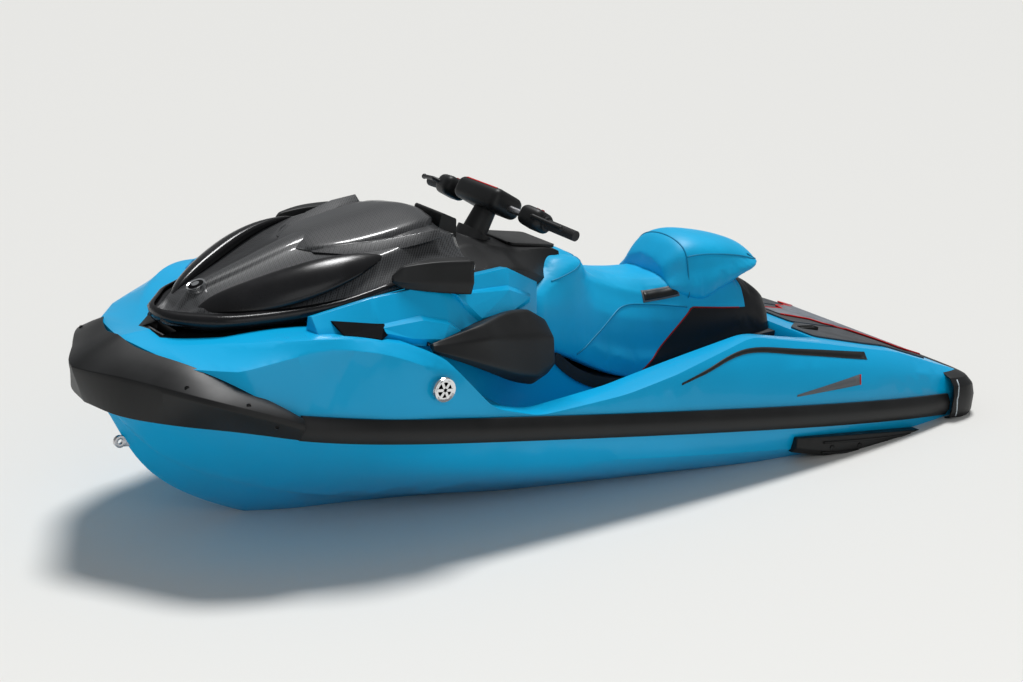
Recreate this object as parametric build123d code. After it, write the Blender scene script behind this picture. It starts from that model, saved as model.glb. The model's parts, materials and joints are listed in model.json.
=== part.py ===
"""A runabout personal watercraft: hull, deck, covers, steering, saddle and jet drive.

Millimetres. +X points to the bow, +Y to port and +Z up. The origin is on the keel line, amidships.
A station is a distance forward of the stern bumper's rear face, a half-breadth is a distance out
from the centre plane, and a height is a distance above the keel.
"""
import math
import os

from build123d import *

# Overall
BOW_TIP = 3318.0                # station of the bow bumper's tip
AMIDSHIPS = BOW_TIP / 2         # station of the origin
SEAT_GAP = 0.3                  # between pieces that seat on each other
RUN_GAP = 6.0                   # between a moving piece and its surroundings
PANEL_GAP = 3.0                 # shut line between neighbouring panels

# Bond line, where deck meets hull, is a plane that rises to the bow
BOND_STERN_Z = 402.0
BOND_RISE = 0.0166              # per unit of station

# Hull and deck mouldings
HULL_WALL = 9.0
DECK_WALL = 9.0
STRAKE_WIDTH = 24.0
TRANSOM = 90.0                  # station of the hull's rear face
FOOTWELL_FLOOR = 362.0          # height
FOOTWELL_REAR = 770.0           # station
FOOTWELL_FRONT = 2120.0         # station

# Rub rail
RAIL_THICKNESS = 26.0
RAIL_BELOW = 38.0               # below the bond line
RAIL_ABOVE = 37.0               # above the bond line
RAIL_REAR = 185.0               # station
RAIL_FRONT = 2830.0             # station

# Hood over the front storage bin
HOOD_WALL = 7.0
HOOD_HINGE_STATION = 3045.0
HOOD_HINGE_Z = 608.0
HINGE_PIN = 5.0                 # radius
HINGE_WELL = 60.0               # half-width of the recess that holds the hinge
HINGE_LUG_Y = 33.0
HINGE_LUG_WIDTH = 10.0
BIN_WALL = 4.0
BIN_REAR = 2300.0
BIN_FRONT = 2740.0
BIN_HALF_WIDTH = 200.0
BIN_FLOOR = 420.0
BIN_FLANGE = 22.0

# Steering
STEER_STATION = 1935.0          # where the steering axis meets the console's top
STEER_Z = 905.0
STEER_RAKE = 24.0               # degrees, axis leans back
BAR_HEIGHT = 118.0              # along the steering axis, console top to bar
BAR_RADIUS = 11.0
BAR_STRAIGHT = 110.0            # half-length of the straight middle
BAR_SWEEP_BACK = 52.0
BAR_HALF_WIDTH = 405.0
GRIP_LENGTH = 125.0
GRIP_RADIUS = 17.0
COLUMN_RADIUS = 42.0

# Glove box between console and saddle
LID_REAR = 1668.0
LID_FRONT = 1850.0
LID_HALF_WIDTH = 96.0
LID_THICKNESS = 9.0
LID_REAR_Z = 880.0
LID_FRONT_Z = 888.0
TRAY_DEPTH = 95.0
TRAY_WALL = 4.0

# Jet drive, on one axis
PUMP_Z = 172.0                  # height of the pump's axis
PUMP_BORE = 80.0                # radius
PUMP_WALL = 14.0
PUMP_FRONT = 545.0              # station of the flange on the tunnel's end wall
PUMP_LENGTH = 205.0
VENTURI_LENGTH = 150.0
VENTURI_BORE = 48.0             # exit radius
VENTURI_WALL = 9.0
SHAFT_RADIUS = 14.0
HUB_RADIUS = 30.0
BLADES = 4
TUNNEL_HALF_WIDTH = 168.0
TUNNEL_TOP = 362.0
TRIM_STATION = 235.0            # trim and gate pivots
STEER_PIVOT = 180.0             # nozzle's steering pivot, a station
NOZZLE_MOUTH = 64.0             # inner radius where the jet enters
NOZZLE_EXIT = 44.0              # inner radius where it leaves
NOZZLE_FRONT = 176.0
NOZZLE_REAR = 92.0
NOZZLE_WALL = 6.0
RING_RADIUS = 77.0              # trim ring's inner radius
RING_WALL = 8.0
RING_HALF_LENGTH = 18.0
PIVOT_RADIUS = 7.0
GATE_RADIUS = 168.0             # bucket's inner radius about its pivot
GATE_WALL = 7.0
GATE_HALF_WIDTH = 106.0
GATE_LOW = 26.0                 # degrees above level when stowed
GATE_HIGH = 88.0

# Engine, a plain block on two bearers
ENGINE_REAR = 1090.0
ENGINE_FRONT = 1730.0
ENGINE_HALF_WIDTH = 168.0
ENGINE_BOTTOM = 118.0
ENGINE_TOP = 415.0
BEARER_Y = 145.0
BEARER_WIDTH = 36.0

# Bow eye and stern tow eyes, drilled lugs
EYE_HOLE = 8.0                  # radius
EYE_RADIUS = 19.0
EYE_THICKNESS = 12.0

# Lines of the mouldings. Columns: station, half-breadth at the bond line, keel height,
# strake half-breadth, chine half-breadth and height, flank half-breadth and height
HULL_LINES = [
    (TRANSOM, 487, 0, 225, 425, 222, 472, 280),
    (400, 540, 0, 240, 465, 230, 520, 288),
    (800, 580, 0, 250, 495, 236, 558, 296),
    (1400, 601, 0, 255, 507, 240, 577, 302),
    (2050, 600, 0, 248, 490, 247, 562, 312),
    (2420, 590, 0, 222, 440, 260, 518, 328),
    (2650, 564, 13, 190, 375, 278, 458, 346),
    (2880, 492, 88, 125, 265, 305, 350, 366),
    (3060, 385, 205, 60, 140, 345, 220, 398),
    (3160, 255, 332, 25, 65, 395, 118, 425),
    (3200, 180, 382, 10, 30, 415, 62, 434),
]
# Columns: station, crease half-breadth and height, shoulder half-breadth and height, crown height
DECK_LINES = [
    (TRANSOM, 470, 486, 405, 522, 526),
    (400, 512, 530, 430, 612, 618),
    (800, 552, 560, 454, 682, 690),
    (1400, 578, 575, 492, 732, 740),
    (2050, 594, 600, 535, 722, 740),
    (2420, 586, 628, 552, 688, 692),
    (2650, 542, 680, 506, 708, 690),
    (2880, 448, 632, 372, 668, 655),
    (3060, 352, 574, 140, 606, 620),
    (3160, 215, 560, 60, 590, 600),
    (3200, 150, 548, 45, 575, 583),
]
# Sheer, the side view of the gunwale's top. Columns: station, height, corner radius
SHEER = [
    (40, 494, 0),
    (420, 588, 500),
    (780, 634, 500),
    (1130, 672, 260),
    (1700, 526, 700),
    (2030, 474, 260),
    (2200, 502, 160),
    (2390, 660, 120),
    (2640, 740, 0),
    (3260, 740, 0),
]
# Well between the gunwales. Columns: station, floor half-breadth, half-breadth at its mouth, floor height
WELL_MOUTH = 900.0              # height to which the well is cut
WELL = [
    (FOOTWELL_REAR, 395, 415, 440),
    (900, 425, 442, FOOTWELL_FLOOR),
    (1400, 458, 470, FOOTWELL_FLOOR),
    (1900, 505, 512, FOOTWELL_FLOOR + 10),
    (FOOTWELL_FRONT, 520, 530, 430),
]
# Pedestal under saddle and console. Columns: station, base half-breadth, top half-breadth, top height
PEDESTAL = [
    (690, 236, 205, 590),
    (970, 240, 206, 545),
    (1350, 242, 208, 446),
    (1720, 262, 228, 552),
    (1900, 318, 285, 660),
    (2160, 420, 380, 705),
    (2420, 500, 440, 700),
]
# Bow bumper, three rings seen from above: its lower edge, its ridge and its top edge.
# Each has its height at the tip and at the rear, then (station, half-breadth) from rear to tip
BUMPER_TAIL = 430.0             # inner half-breadth of the bumper's rear ends, inside the mouldings
BUMPER_RINGS = [
    (398, 413, [(2833, 524), (2970, 402), (3119, 292), (3229, 165), (3264, 0)]),
    (512, 468, [(2833, 550), (2905, 528), (3090, 425), (3222, 195), (3295, 62), (BOW_TIP, 0)]),
    (618, 493, [(2833, 530), (2900, 498), (3075, 285), (3130, 105), (3160, 0)]),
]
# Hood. Columns: station, edge half-breadth and height, side crease half-breadth and height, crown height
HOOD = [
    (3055, 45, 642, 30, 652, 656),
    (2985, 130, 656, 84, 674, 682),
    (2935, 188, 667, 118, 712, 738),
    (2785, 265, 702, 200, 774, 812),
    (2610, 328, 752, 262, 852, 892),
    (2430, 342, 818, 268, 905, 945),
    (2230, 332, 852, 230, 965, 1002),
    (2150, 300, 860, 200, 945, 975),
]
# Side cover, port. Columns: station, outer foot half-breadth and height, outer top, inner top, foot height
SIDE_COVER = [
    (2740, 425, 690, 365, 742, 345, 738),
    (2550, 475, 680, 388, 800, 358, 794),
    (2305, 485, 670, 388, 845, 352, 840),
    (2010, 385, 680, 308, 868, 268, 862),
    (1870, 320, 650, 285, 815, 248, 806),
]
# Side pod, port. Columns: station, outer foot half-breadth and height, ridge, outer top, inner half-breadth
SIDE_POD = [
    (2390, 528, 640, 538, 662, 520, 690, 470),
    (2190, 512, 600, 526, 655, 480, 738, 390),
    (2050, 468, 545, 494, 640, 402, 758, 320),
    (1960, 450, 526, 480, 620, 380, 752, 300),
    (1850, 405, 560, 425, 615, 362, 690, 280),
]
# Console. Columns: station, foot height, side half-breadth and height, shoulder half-breadth and height, crown
CONSOLE = [
    (2235, 660, 328, 800, 180, 848, 856),
    (2120, 660, 296, 830, 170, 900, 912),
    (1960, 640, 252, 848, 140, 898, 904),
    (1850, 600, 226, 832, 130, 884, 892),
    (1760, 580, 190, 800, 116, 882, 888),
    (1664, 560, 150, 780, 108, 872, 878),
]
# Saddle. Columns: station, skirt half-breadth and height, waist, shoulder, crown height
SADDLE = [
    (1795, 268, 588, 246, 735, 176, 826, 840),
    (1660, 256, 540, 212, 720, 132, 856, 872),
    (1545, 250, 500, 192, 690, 112, 803, 815),
    (1380, 236, 455, 190, 655, 130, 762, 778),
    (1220, 226, 470, 192, 645, 142, 762, 776),
    (1080, 222, 512, 200, 665, 150, 785, 800),
    (940, 220, 550, 200, 680, 150, 775, 790),
    (760, 200, 585, 172, 660, 130, 715, 725),
]
# Bolster behind the rider. Columns: station, leg half-breadth and height, shoulder, crown height
BOLSTER = [
    (1168, 172, 716, 118, 842, 872),
    (1095, 194, 704, 140, 872, 911),
    (940, 186, 772, 138, 868, 903),
    (795, 140, 812, 106, 842, 862),
]
BASE_THICKNESS = 22.0           # rubber-edged base under the saddle
BASE_OVERHANG = 10.0
MAT_THICKNESS = 6.0
MAT_MARGIN = 14.0
MIRROR_INNER = 360.0            # half-breadth, clear of the hood's swing
# Mirror housing, port. Columns: station, outer half-breadth, lower height, upper height
MIRROR = [
    (2455, 378, 815, 838),
    (2370, 412, 815, 884),
    (2215, 436, 815, 920),
]
MIRROR_RIM = 7.0
GLASS_THICKNESS = 3.0
# Sponson, port. Columns: station, inner half-breadth, outer half-breadth, lower height, upper height
SPONSON = [
    (150, 430, 528, 262, 322),
    (560, 470, 588, 252, 338),
    (940, 520, 596, 288, 342),
]


def at(station):
    """Turn a station into the part's own x."""
    return station - AMIDSHIPS


def bond_z(station):
    """Height of the bond line at a station."""
    return BOND_STERN_Z + BOND_RISE * station


def between(table, station, column):
    """Read a table of lines at any station, straight between its rows."""
    for low, high in zip(table, table[1:]):
        if low[0] <= station <= high[0]:
            share = (station - low[0]) / (high[0] - low[0])
            return low[column] + share * (high[column] - low[column])
    return table[0][column] if station < table[0][0] else table[-1][column]


def smooth_rows(rows, count):
    """Rows of a table filled in, count to each gap, along curves that never overshoot a row."""
    stations = [row[0] for row in rows]
    columns = []
    for values in zip(*rows):
        rates = [(values[i + 1] - values[i]) / (stations[i + 1] - stations[i]) for i in range(len(rows) - 1)]
        slopes = [rates[0]]
        for before, after in zip(rates, rates[1:]):
            slopes.append(2 * before * after / (before + after) if before * after > 0 else 0.0)
        slopes.append(rates[-1])
        column = []
        for i, gap in enumerate(b - a for a, b in zip(stations, stations[1:])):
            for step in range(count):
                t = step / count
                column.append((1 + 2 * t) * (1 - t) ** 2 * values[i] + t * (1 - t) ** 2 * gap * slopes[i]
                              + t * t * (3 - 2 * t) * values[i + 1] - t * t * (1 - t) * gap * slopes[i + 1])
        columns.append(column + [values[-1]])
    return list(zip(*columns))


def ring_face(station, points):
    """A face across the craft from a closed ring of (half-breadth, height) points."""
    return Face(Wire.make_polygon([(at(station), y, z) for y, z in points], close=True))


def whole_face(station, half):
    """A face across the craft from its port half, listed from the keel up to the crown."""
    other_half = [(-y, z) for y, z in reversed(half) if y > 0]
    return ring_face(station, half + other_half)


def whole_loft(sections, ruled=False):
    """A body symmetric about the centre plane, through (station, port half) sections."""
    return loft([whole_face(station, half) for station, half in sections], ruled=ruled)


def side_loft(sections, ruled=False):
    """A body on the port side, through (station, ring) sections, with flat facets where ruled."""
    return loft([ring_face(station, ring) for station, ring in sections], ruled=ruled)


def side_prism(outline, half_width, radii=0):
    """An outline seen from the side, as (station, height) points, run across the craft."""
    points = [(at(station), height) for station, height in outline]
    line = FilletPolyline(*points, radius=radii, close=True) if radii else Polyline(*points, close=True)
    return extrude(Plane.XZ * make_face(line), amount=half_width, both=True)


def plan_prism(outline, low, high, radii=0):
    """An outline seen from above, as (station, half-breadth) points, run from one height to another."""
    points = [(at(station), y) for station, y in outline]
    line = FilletPolyline(*points, radius=radii, close=True) if radii else Polyline(*points, close=True)
    return extrude(Pos(0, 0, low) * make_face(line), amount=high - low)


def rod(start, end, radius):
    """A round bar between two points of the part's frame."""
    along = Vector(*end) - Vector(*start)
    return extrude(Plane(origin=start, z_dir=along) * Circle(radius), amount=along.length)


def other_side(shape):
    """The starboard twin of a port piece."""
    return mirror(shape, about=Plane.XZ)


def below_bond():
    """The space under the bond line."""
    outline = [(-200, -300), (BOW_TIP + 200, -300),
               (BOW_TIP + 200, bond_z(BOW_TIP + 200)), (-200, bond_z(-200))]
    return side_prism(outline, 900)


def hull_section(row, inset=0.0):
    """Port half of the hull at a row of its lines, set in by a wall where asked."""
    station, bond_y, keel, strake_y, chine_y, chine_z, flank_y, flank_z = row
    slope = (chine_z - keel) / chine_y
    strake_z = keel + slope * strake_y
    step = STRAKE_WIDTH * strake_y / 255
    top = bond_z(station) + 60
    if inset:
        rise = inset * math.hypot(1, slope)
        return [(0, keel + rise), (chine_y - inset, chine_z + inset),
                (flank_y - inset, flank_z + inset / 2), (bond_y - inset - 2, top)]
    return [(0, keel), (strake_y, strake_z), (strake_y + step, strake_z),
            (chine_y, chine_z), (flank_y, flank_z), (bond_y, bond_z(station)), (bond_y, top)]


def tunnel_space(wall=0.0):
    """The stern tunnel that holds the pump, and the duct that feeds it, grown by a wall."""
    half = TUNNEL_HALF_WIDTH + wall
    top = TUNNEL_TOP + wall
    tunnel = side_prism([(-60, -60), (PUMP_FRONT + wall, -60),
                         (PUMP_FRONT + wall, top), (-60, top)], half)
    duct = loft([
        Plane(origin=(at(PUMP_FRONT - 5), 0, PUMP_Z), z_dir=(1, 0, 0)) * Circle(PUMP_BORE + wall),
        Plane(origin=(at(690), 0, 96), z_dir=(1, 0, -1.0)) * Circle(PUMP_BORE + 6 + wall),
        Plane(origin=(at(790), 0, -90), z_dir=(0.25, 0, -1)) * Circle(PUMP_BORE + 14 + wall),
    ])
    return tunnel + duct


def make_hull():
    """V-bottomed shell with strakes, hard chines, the pump tunnel and the engine's bearers."""
    outer = whole_loft([(row[0], hull_section(row)) for row in HULL_LINES])
    inner_rows = [row for row in HULL_LINES if TRANSOM < row[0] < 3000]
    inner = whole_loft([(row[0], hull_section(row, HULL_WALL)) for row in inner_rows])
    inner -= tunnel_space(HULL_WALL)
    bearer_low = 40.0
    bearers = [
        Pos(at((ENGINE_REAR + ENGINE_FRONT) / 2), side * BEARER_Y, (bearer_low + ENGINE_BOTTOM) / 2)
        * Box(ENGINE_FRONT - ENGINE_REAR, BEARER_WIDTH, ENGINE_BOTTOM - bearer_low)
        for side in (1, -1)
    ]
    inner -= bearers
    hull = (outer & below_bond()) - inner - tunnel_space()
    shaft_hole = rod((at(500), 0, PUMP_Z), (at(ENGINE_REAR), 0, PUMP_Z), SHAFT_RADIUS + 1.0)
    return hull - shaft_hole


def well_space(grow=0.0):
    """The space between the gunwales for the rider's feet, grown by a wall where asked."""
    sections = []
    for station, floor_y, mouth_y, floor in WELL:
        end = grow if station == FOOTWELL_FRONT else -grow if station == FOOTWELL_REAR else 0
        sections.append((station + end, [
            (0, floor - grow), (floor_y + grow, floor - grow), (mouth_y + grow, WELL_MOUTH), (0, WELL_MOUTH)]))
    return whole_loft(sections)


def bow_boundary(tail=536.0):
    """The space outside the line where the bow bumper meets the deck, both sides, with the tail's inner half-breadth."""
    edge = [(2800, 700), (2800, tail), (2880, min(tail, 528)), (3085, 295), (3140, 110), (3172, 0)]
    other = [(station, -y) for station, y in reversed(edge[:-1])]
    return plan_prism(edge + other + [(3500, -700), (3500, 700)], 300, 800)


def make_deck():
    """Deck moulding: foredeck, gunwales, footwell tubs, pedestal and rear platform."""
    sections = []
    for hull_row, deck_row in zip(HULL_LINES, DECK_LINES):
        station, crease_y, crease_z, shoulder_y, shoulder_z, crown = deck_row
        bond_y = hull_row[1]
        low = bond_z(station) - 50
        rail_top = bond_z(station) + RAIL_ABOVE
        sections.append((station, [
            (0, low), (bond_y, low), (bond_y, rail_top), (crease_y, crease_z),
            (shoulder_y, shoulder_z), (0, crown)]))
    body = whole_loft(sections)
    sheer = [(station, height) for station, height, radius in SHEER]
    radii = [radius for station, height, radius in SHEER]
    body &= side_prism(sheer + [(BOW_TIP + 60, 0), (-60, 0)], 900, radii + [0, 0])
    body -= bow_boundary()
    body -= below_bond()
    body += well_space(DECK_WALL) & below_bond()
    body -= well_space()
    pedestal = whole_loft([
        (station, [(0, FOOTWELL_FLOOR - 4), (base, FOOTWELL_FLOOR - 4), (top_y, top), (0, top)])
        for station, base, top_y, top in PEDESTAL])
    body += pedestal
    engine_bay = whole_loft([
        (station, [(0, 300), (base - 16, 300), (top_y - 12, top - DECK_WALL), (0, top - DECK_WALL)])
        for station, base, top_y, top in PEDESTAL[1:5]])
    bin_pocket = side_prism([(BIN_REAR - 6, 300), (BIN_FRONT + 6, 300),
                             (BIN_FRONT + 6, 900), (BIN_REAR - 6, 900)], BIN_HALF_WIDTH + 6)
    well_rear = HOOD_HINGE_STATION - 32
    well_front = HOOD_HINGE_STATION + 20
    hinge_well = side_prism([(well_rear, HOOD_HINGE_Z - 20), (well_front, HOOD_HINGE_Z - 20),
                             (well_front, 900), (well_rear, 900)], HINGE_WELL)
    return body - engine_bay - bin_pocket - hinge_well - hinge_pin(SEAT_GAP)


def hinge_pin(grow=0.0):
    """Pin of the hood's hinge, across its recess, grown by a clearance."""
    reach = HINGE_WELL + 8
    return rod((at(HOOD_HINGE_STATION), -reach, HOOD_HINGE_Z), (at(HOOD_HINGE_STATION), reach, HOOD_HINGE_Z),
               HINGE_PIN + grow)


def bumper_ring(tip_z, rear_z, half):
    """A ring of the bow bumper, a smooth line round the bow closed by a straight rear edge."""
    rear = half[0][0]
    tip = half[-1][0]
    port = [(at(station), y, rear_z + (tip_z - rear_z) * (station - rear) / (tip - rear)) for station, y in half]
    starboard = [(x, -y, z) for x, y, z in reversed(port[:-1])]
    round_bow = Edge.make_spline([Vector(*point) for point in port + starboard])
    across = Edge.make_line(starboard[-1], port[0])
    return Face(Wire([round_bow, across]))


def make_bow_bumper(hull, deck):
    """Wrap-round bow bumper with a ridge, seated over hull and deck."""
    body = loft([bumper_ring(*ring) for ring in BUMPER_RINGS], ruled=True)
    body &= bow_boundary(BUMPER_TAIL)
    return largest(body - hull - deck)


def largest(shape):
    """The main solid of a cut, without the crumbs."""
    return max(shape.solids(), key=lambda solid: solid.volume)


def make_rub_rail(hull, deck):
    """Port rub rail along the bond line, between the two bumpers."""
    stations = [RAIL_REAR] + [row[0] for row in HULL_LINES if RAIL_REAR < row[0] < RAIL_FRONT] + [RAIL_FRONT]
    sections = []
    for station in stations:
        bond_y = between(HULL_LINES, station, 1)
        middle = bond_z(station)
        sections.append((station, [
            (bond_y - 30, middle - RAIL_BELOW), (bond_y + 12, middle - RAIL_BELOW),
            (bond_y + RAIL_THICKNESS, middle - 14), (bond_y + RAIL_THICKNESS, middle + 12),
            (bond_y + 10, middle + RAIL_ABOVE), (bond_y - 30, middle + RAIL_ABOVE)]))
    return largest(side_loft(sections) - hull - deck)


def make_stern_bumper(hull, deck):
    """Bumper across the stern, wrapped round both rear corners."""
    plan = [(0, 486), (0, -486), (RAIL_REAR - PANEL_GAP, -540), (RAIL_REAR - PANEL_GAP, 540)]
    body = plan_prism(plan, 350, 560, [58, 58, 0, 0])
    top = side_prism([(-50, 486), (RAIL_REAR + 50, 512), (RAIL_REAR + 50, 800), (-50, 800)], 700)
    body -= top
    body -= side_prism([(-50, 300), (60, 300), (-50, 420)], 700)
    return largest(body - hull - deck)


def make_hood():
    """Front hood, a lid with a thin wall, hinged at its front."""
    rows = smooth_rows(HOOD, 3)
    outer = whole_loft([
        (station, [(0, edge_z), (edge_y, edge_z), (crease_y, crease_z), (0, crown)])
        for station, edge_y, edge_z, crease_y, crease_z, crown in rows], ruled=True)
    inner_rows = [row for row in rows if row[0] <= HOOD[1][0]]
    inner_rows.append((inner_rows[-1][0] - 30,) + inner_rows[-1][1:])
    inner = whole_loft([
        (station, [(0, edge_z - 60), (edge_y - HOOD_WALL, edge_z - 60), (edge_y - HOOD_WALL, edge_z),
                   (crease_y - HOOD_WALL, crease_z - HOOD_WALL), (0, crown - HOOD_WALL)])
        for station, edge_y, edge_z, crease_y, crease_z, crown in inner_rows], ruled=True)
    lid = largest(outer - inner)
    lug_top = HOOD[0][2] + 6
    for side in (1, -1):
        plane = Plane(origin=(at(HOOD_HINGE_STATION), side * HINGE_LUG_Y, HOOD_HINGE_Z), z_dir=(0, 1, 0))
        lid += extrude(plane * Circle(2 * HINGE_PIN), amount=HINGE_LUG_WIDTH / 2, both=True)
        lid += Pos(at(HOOD_HINGE_STATION) - 2 * HINGE_PIN, side * HINGE_LUG_Y, (HOOD_HINGE_Z + lug_top) / 2) * Box(
            4 * HINGE_PIN, HINGE_LUG_WIDTH, lug_top - HOOD_HINGE_Z)
    return lid - hinge_pin(SEAT_GAP)


def make_storage_bin(deck):
    """Open bin hung in the foredeck by its flange."""
    flange_top = 716.0
    shell = side_prism([(BIN_REAR, BIN_FLOOR), (BIN_FRONT, BIN_FLOOR),
                        (BIN_FRONT, flange_top), (BIN_REAR, flange_top)], BIN_HALF_WIDTH)
    flange = side_prism([(BIN_REAR - BIN_FLANGE, 660), (BIN_FRONT + BIN_FLANGE, 660),
                         (BIN_FRONT + BIN_FLANGE, flange_top), (BIN_REAR - BIN_FLANGE, flange_top)],
                        BIN_HALF_WIDTH + BIN_FLANGE)
    inside = side_prism([(BIN_REAR + BIN_WALL, BIN_FLOOR + BIN_WALL), (BIN_FRONT - BIN_WALL, BIN_FLOOR + BIN_WALL),
                         (BIN_FRONT - BIN_WALL, 900), (BIN_REAR + BIN_WALL, 900)], BIN_HALF_WIDTH - BIN_WALL)
    return largest(shell + flange - inside - deck)


def make_side_cover(deck):
    """Port side cover, the coloured panel between foredeck and hood."""
    body = side_loft([
        (station, [(foot_y, foot_z), (outer_y, outer_z), (inner_y, inner_z), (inner_y, foot_z)])
        for station, foot_y, foot_z, outer_y, outer_z, inner_y, inner_z in SIDE_COVER], ruled=True)
    return largest(body - deck)


def make_side_pod(deck, cover):
    """Port pod ahead of the footwell."""
    body = side_loft([
        (station, [(foot_y, foot_z), (ridge_y, ridge_z), (top_y, top_z), (inner_y, top_z), (inner_y, foot_z)])
        for station, foot_y, foot_z, ridge_y, ridge_z, top_y, top_z, inner_y in SIDE_POD], ruled=True)
    return largest(body - deck - cover)


def lid_line(lift=0.0):
    """Side view of the glove box lid's underside, raised by a lift."""
    return [(LID_REAR, LID_REAR_Z + lift), (LID_FRONT, LID_FRONT_Z + lift)]


def steer_frame():
    """Plane across the steering axis at the console: x athwart to port, y aft and down, z along the axis."""
    rake = math.radians(STEER_RAKE)
    return Plane(origin=(at(STEER_STATION), 0, STEER_Z), x_dir=(0, 1, 0),
                 z_dir=(-math.sin(rake), 0, math.cos(rake)))


def make_console(deck, covers):
    """Console between the side covers, with the steering boss and the glove box's mouth."""
    body = whole_loft([
        (station, [(0, foot), (side_y, foot), (side_y, side_z), (shoulder_y, shoulder_z), (0, crown)])
        for station, foot, side_y, side_z, shoulder_y, shoulder_z, crown in CONSOLE])
    boss = extrude(steer_frame() * Pos(0, 0, -70) * Circle(COLUMN_RADIUS + 16), amount=82)
    body = body + boss - deck
    body -= covers
    (rear, rear_z), (front, front_z) = lid_line(-SEAT_GAP)
    body -= side_prism([(rear - 40, rear_z), (rear, rear_z), (front, front_z), (front + RUN_GAP, front_z),
                        (front + RUN_GAP, 1000), (rear - 40, 1000)], LID_HALF_WIDTH + RUN_GAP)
    mouth = tray_space(SEAT_GAP)
    return largest(body - mouth)


def tray_space(grow=0.0):
    """Outside of the glove box tray, grown by a clearance."""
    low = LID_REAR_Z - TRAY_DEPTH
    return side_prism([(LID_REAR + 14 - grow, low - grow), (LID_FRONT - 14 + grow, low - grow),
                       (LID_FRONT - 14 + grow, 1000), (LID_REAR + 14 - grow, 1000)],
                      LID_HALF_WIDTH - 14 + grow)


def make_tray():
    """Glove box tray, open at the top."""
    low = LID_REAR_Z - TRAY_DEPTH + TRAY_WALL
    inside = side_prism([(LID_REAR + 14 + TRAY_WALL, low), (LID_FRONT - 14 - TRAY_WALL, low),
                         (LID_FRONT - 14 - TRAY_WALL, 1100), (LID_REAR + 14 + TRAY_WALL, 1100)],
                        LID_HALF_WIDTH - 14 - TRAY_WALL)
    (rear, rear_z), (front, front_z) = lid_line(-SEAT_GAP)
    above = side_prism([(rear - 40, rear_z), (rear, rear_z), (front, front_z), (front + 40, front_z),
                        (front + 40, 1100), (rear - 40, 1100)], 300)
    return tray_space() - inside - above


def make_lid():
    """Glove box lid, hinged at its front edge."""
    plate = side_prism(lid_line() + list(reversed(lid_line(LID_THICKNESS))), LID_HALF_WIDTH)
    plate = fillet(plate.edges().filter_by(Axis.Z, tolerance=5), 18)
    knuckle_z = LID_FRONT_Z + LID_THICKNESS / 2
    reach = LID_HALF_WIDTH - 18
    return plate + rod((at(LID_FRONT), -reach, knuckle_z), (at(LID_FRONT), reach, knuckle_z), LID_THICKNESS / 2)


def make_seat_base(deck):
    """Black base along the foot of the saddle."""
    rows = [row for row in PEDESTAL if row[0] < 1800]
    body = whole_loft([
        (station, [(0, top - 20), (top_y + BASE_OVERHANG, top - 20),
                   (top_y + BASE_OVERHANG + 4, top + BASE_THICKNESS), (0, top + BASE_THICKNESS)])
        for station, base_y, top_y, top in rows])
    return largest(body - deck)


def make_saddle(seat_base, deck, console):
    """Saddle with its raised knee pad in front."""
    body = whole_loft([
        (station, [(0, skirt_z), (skirt_y, skirt_z), (waist_y, waist_z), (shoulder_y, shoulder_z), (0, crown)])
        for station, skirt_y, skirt_z, waist_y, waist_z, shoulder_y, shoulder_z, crown in SADDLE])
    body -= side_prism([(LID_REAR - RUN_GAP, 780), (2000, 780), (2000, 1100), (LID_REAR - RUN_GAP, 1100)],
                       LID_HALF_WIDTH + RUN_GAP)
    return largest(body - seat_base - deck - console)


def make_bolster(saddle):
    """Bolster that straddles the rear of the saddle."""
    body = whole_loft([
        (station, [(0, leg_z), (leg_y, leg_z), (shoulder_y, shoulder_z), (0, crown)])
        for station, leg_y, leg_z, shoulder_y, shoulder_z, crown in BOLSTER])
    return largest(body - saddle)


def bar_point(share, side):
    """A point on the handlebar's centre line, from its bend (0) to its end (1), in the steering frame."""
    reach = BAR_STRAIGHT + share * (BAR_HALF_WIDTH - BAR_STRAIGHT)
    return (side * reach, share * BAR_SWEEP_BACK, BAR_HEIGHT)


def frame_rod(start, end, radius):
    """A round bar between two points of the steering frame."""
    frame = steer_frame()
    return rod(tuple(frame.from_local_coords(Vector(*start))),
               tuple(frame.from_local_coords(Vector(*end))), radius)


def make_handlebar():
    """Handlebar tube, swept back at both ends."""
    path = FilletPolyline(bar_point(1, -1)[:2], bar_point(0, -1)[:2], bar_point(0, 1)[:2], bar_point(1, 1)[:2],
                          radius=60)
    start = path @ 0
    tube = sweep(Plane(origin=start, z_dir=path % 0) * Circle(BAR_RADIUS), path=path)
    return steer_frame() * Pos(0, 0, BAR_HEIGHT) * tube


def make_column(handlebar):
    """Steering column from the console's boss up to the bar."""
    start = 12 + SEAT_GAP
    post = Pos(0, 0, start) * extrude(Circle(COLUMN_RADIUS), amount=BAR_HEIGHT - start + 4, taper=4)
    return largest(steer_frame() * post - handlebar)


def make_bar_pad(handlebar, column):
    """Padded cover over the middle of the bar."""
    block = Pos(0, -10, BAR_HEIGHT + 6) * Box(218, 114, 66)
    block = fillet(block.edges(), 20)
    return largest(steer_frame() * block - handlebar - column)


def make_grip():
    """Port grip at the end of the bar, with its flange."""
    share = 1 - GRIP_LENGTH / (BAR_HALF_WIDTH - BAR_STRAIGHT)
    body = frame_rod(bar_point(share, 1), bar_point(1.02, 1), GRIP_RADIUS)
    body += frame_rod(bar_point(share, 1), bar_point(share + 0.025, 1), GRIP_RADIUS + 7)
    return body - frame_rod(bar_point(share - 0.1, 1), bar_point(1.0, 1), BAR_RADIUS + SEAT_GAP)


def pod_point():
    """Middle of the port switch housing, in the steering frame."""
    return bar_point(1 - (GRIP_LENGTH + 44) / (BAR_HALF_WIDTH - BAR_STRAIGHT), 1)


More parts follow.
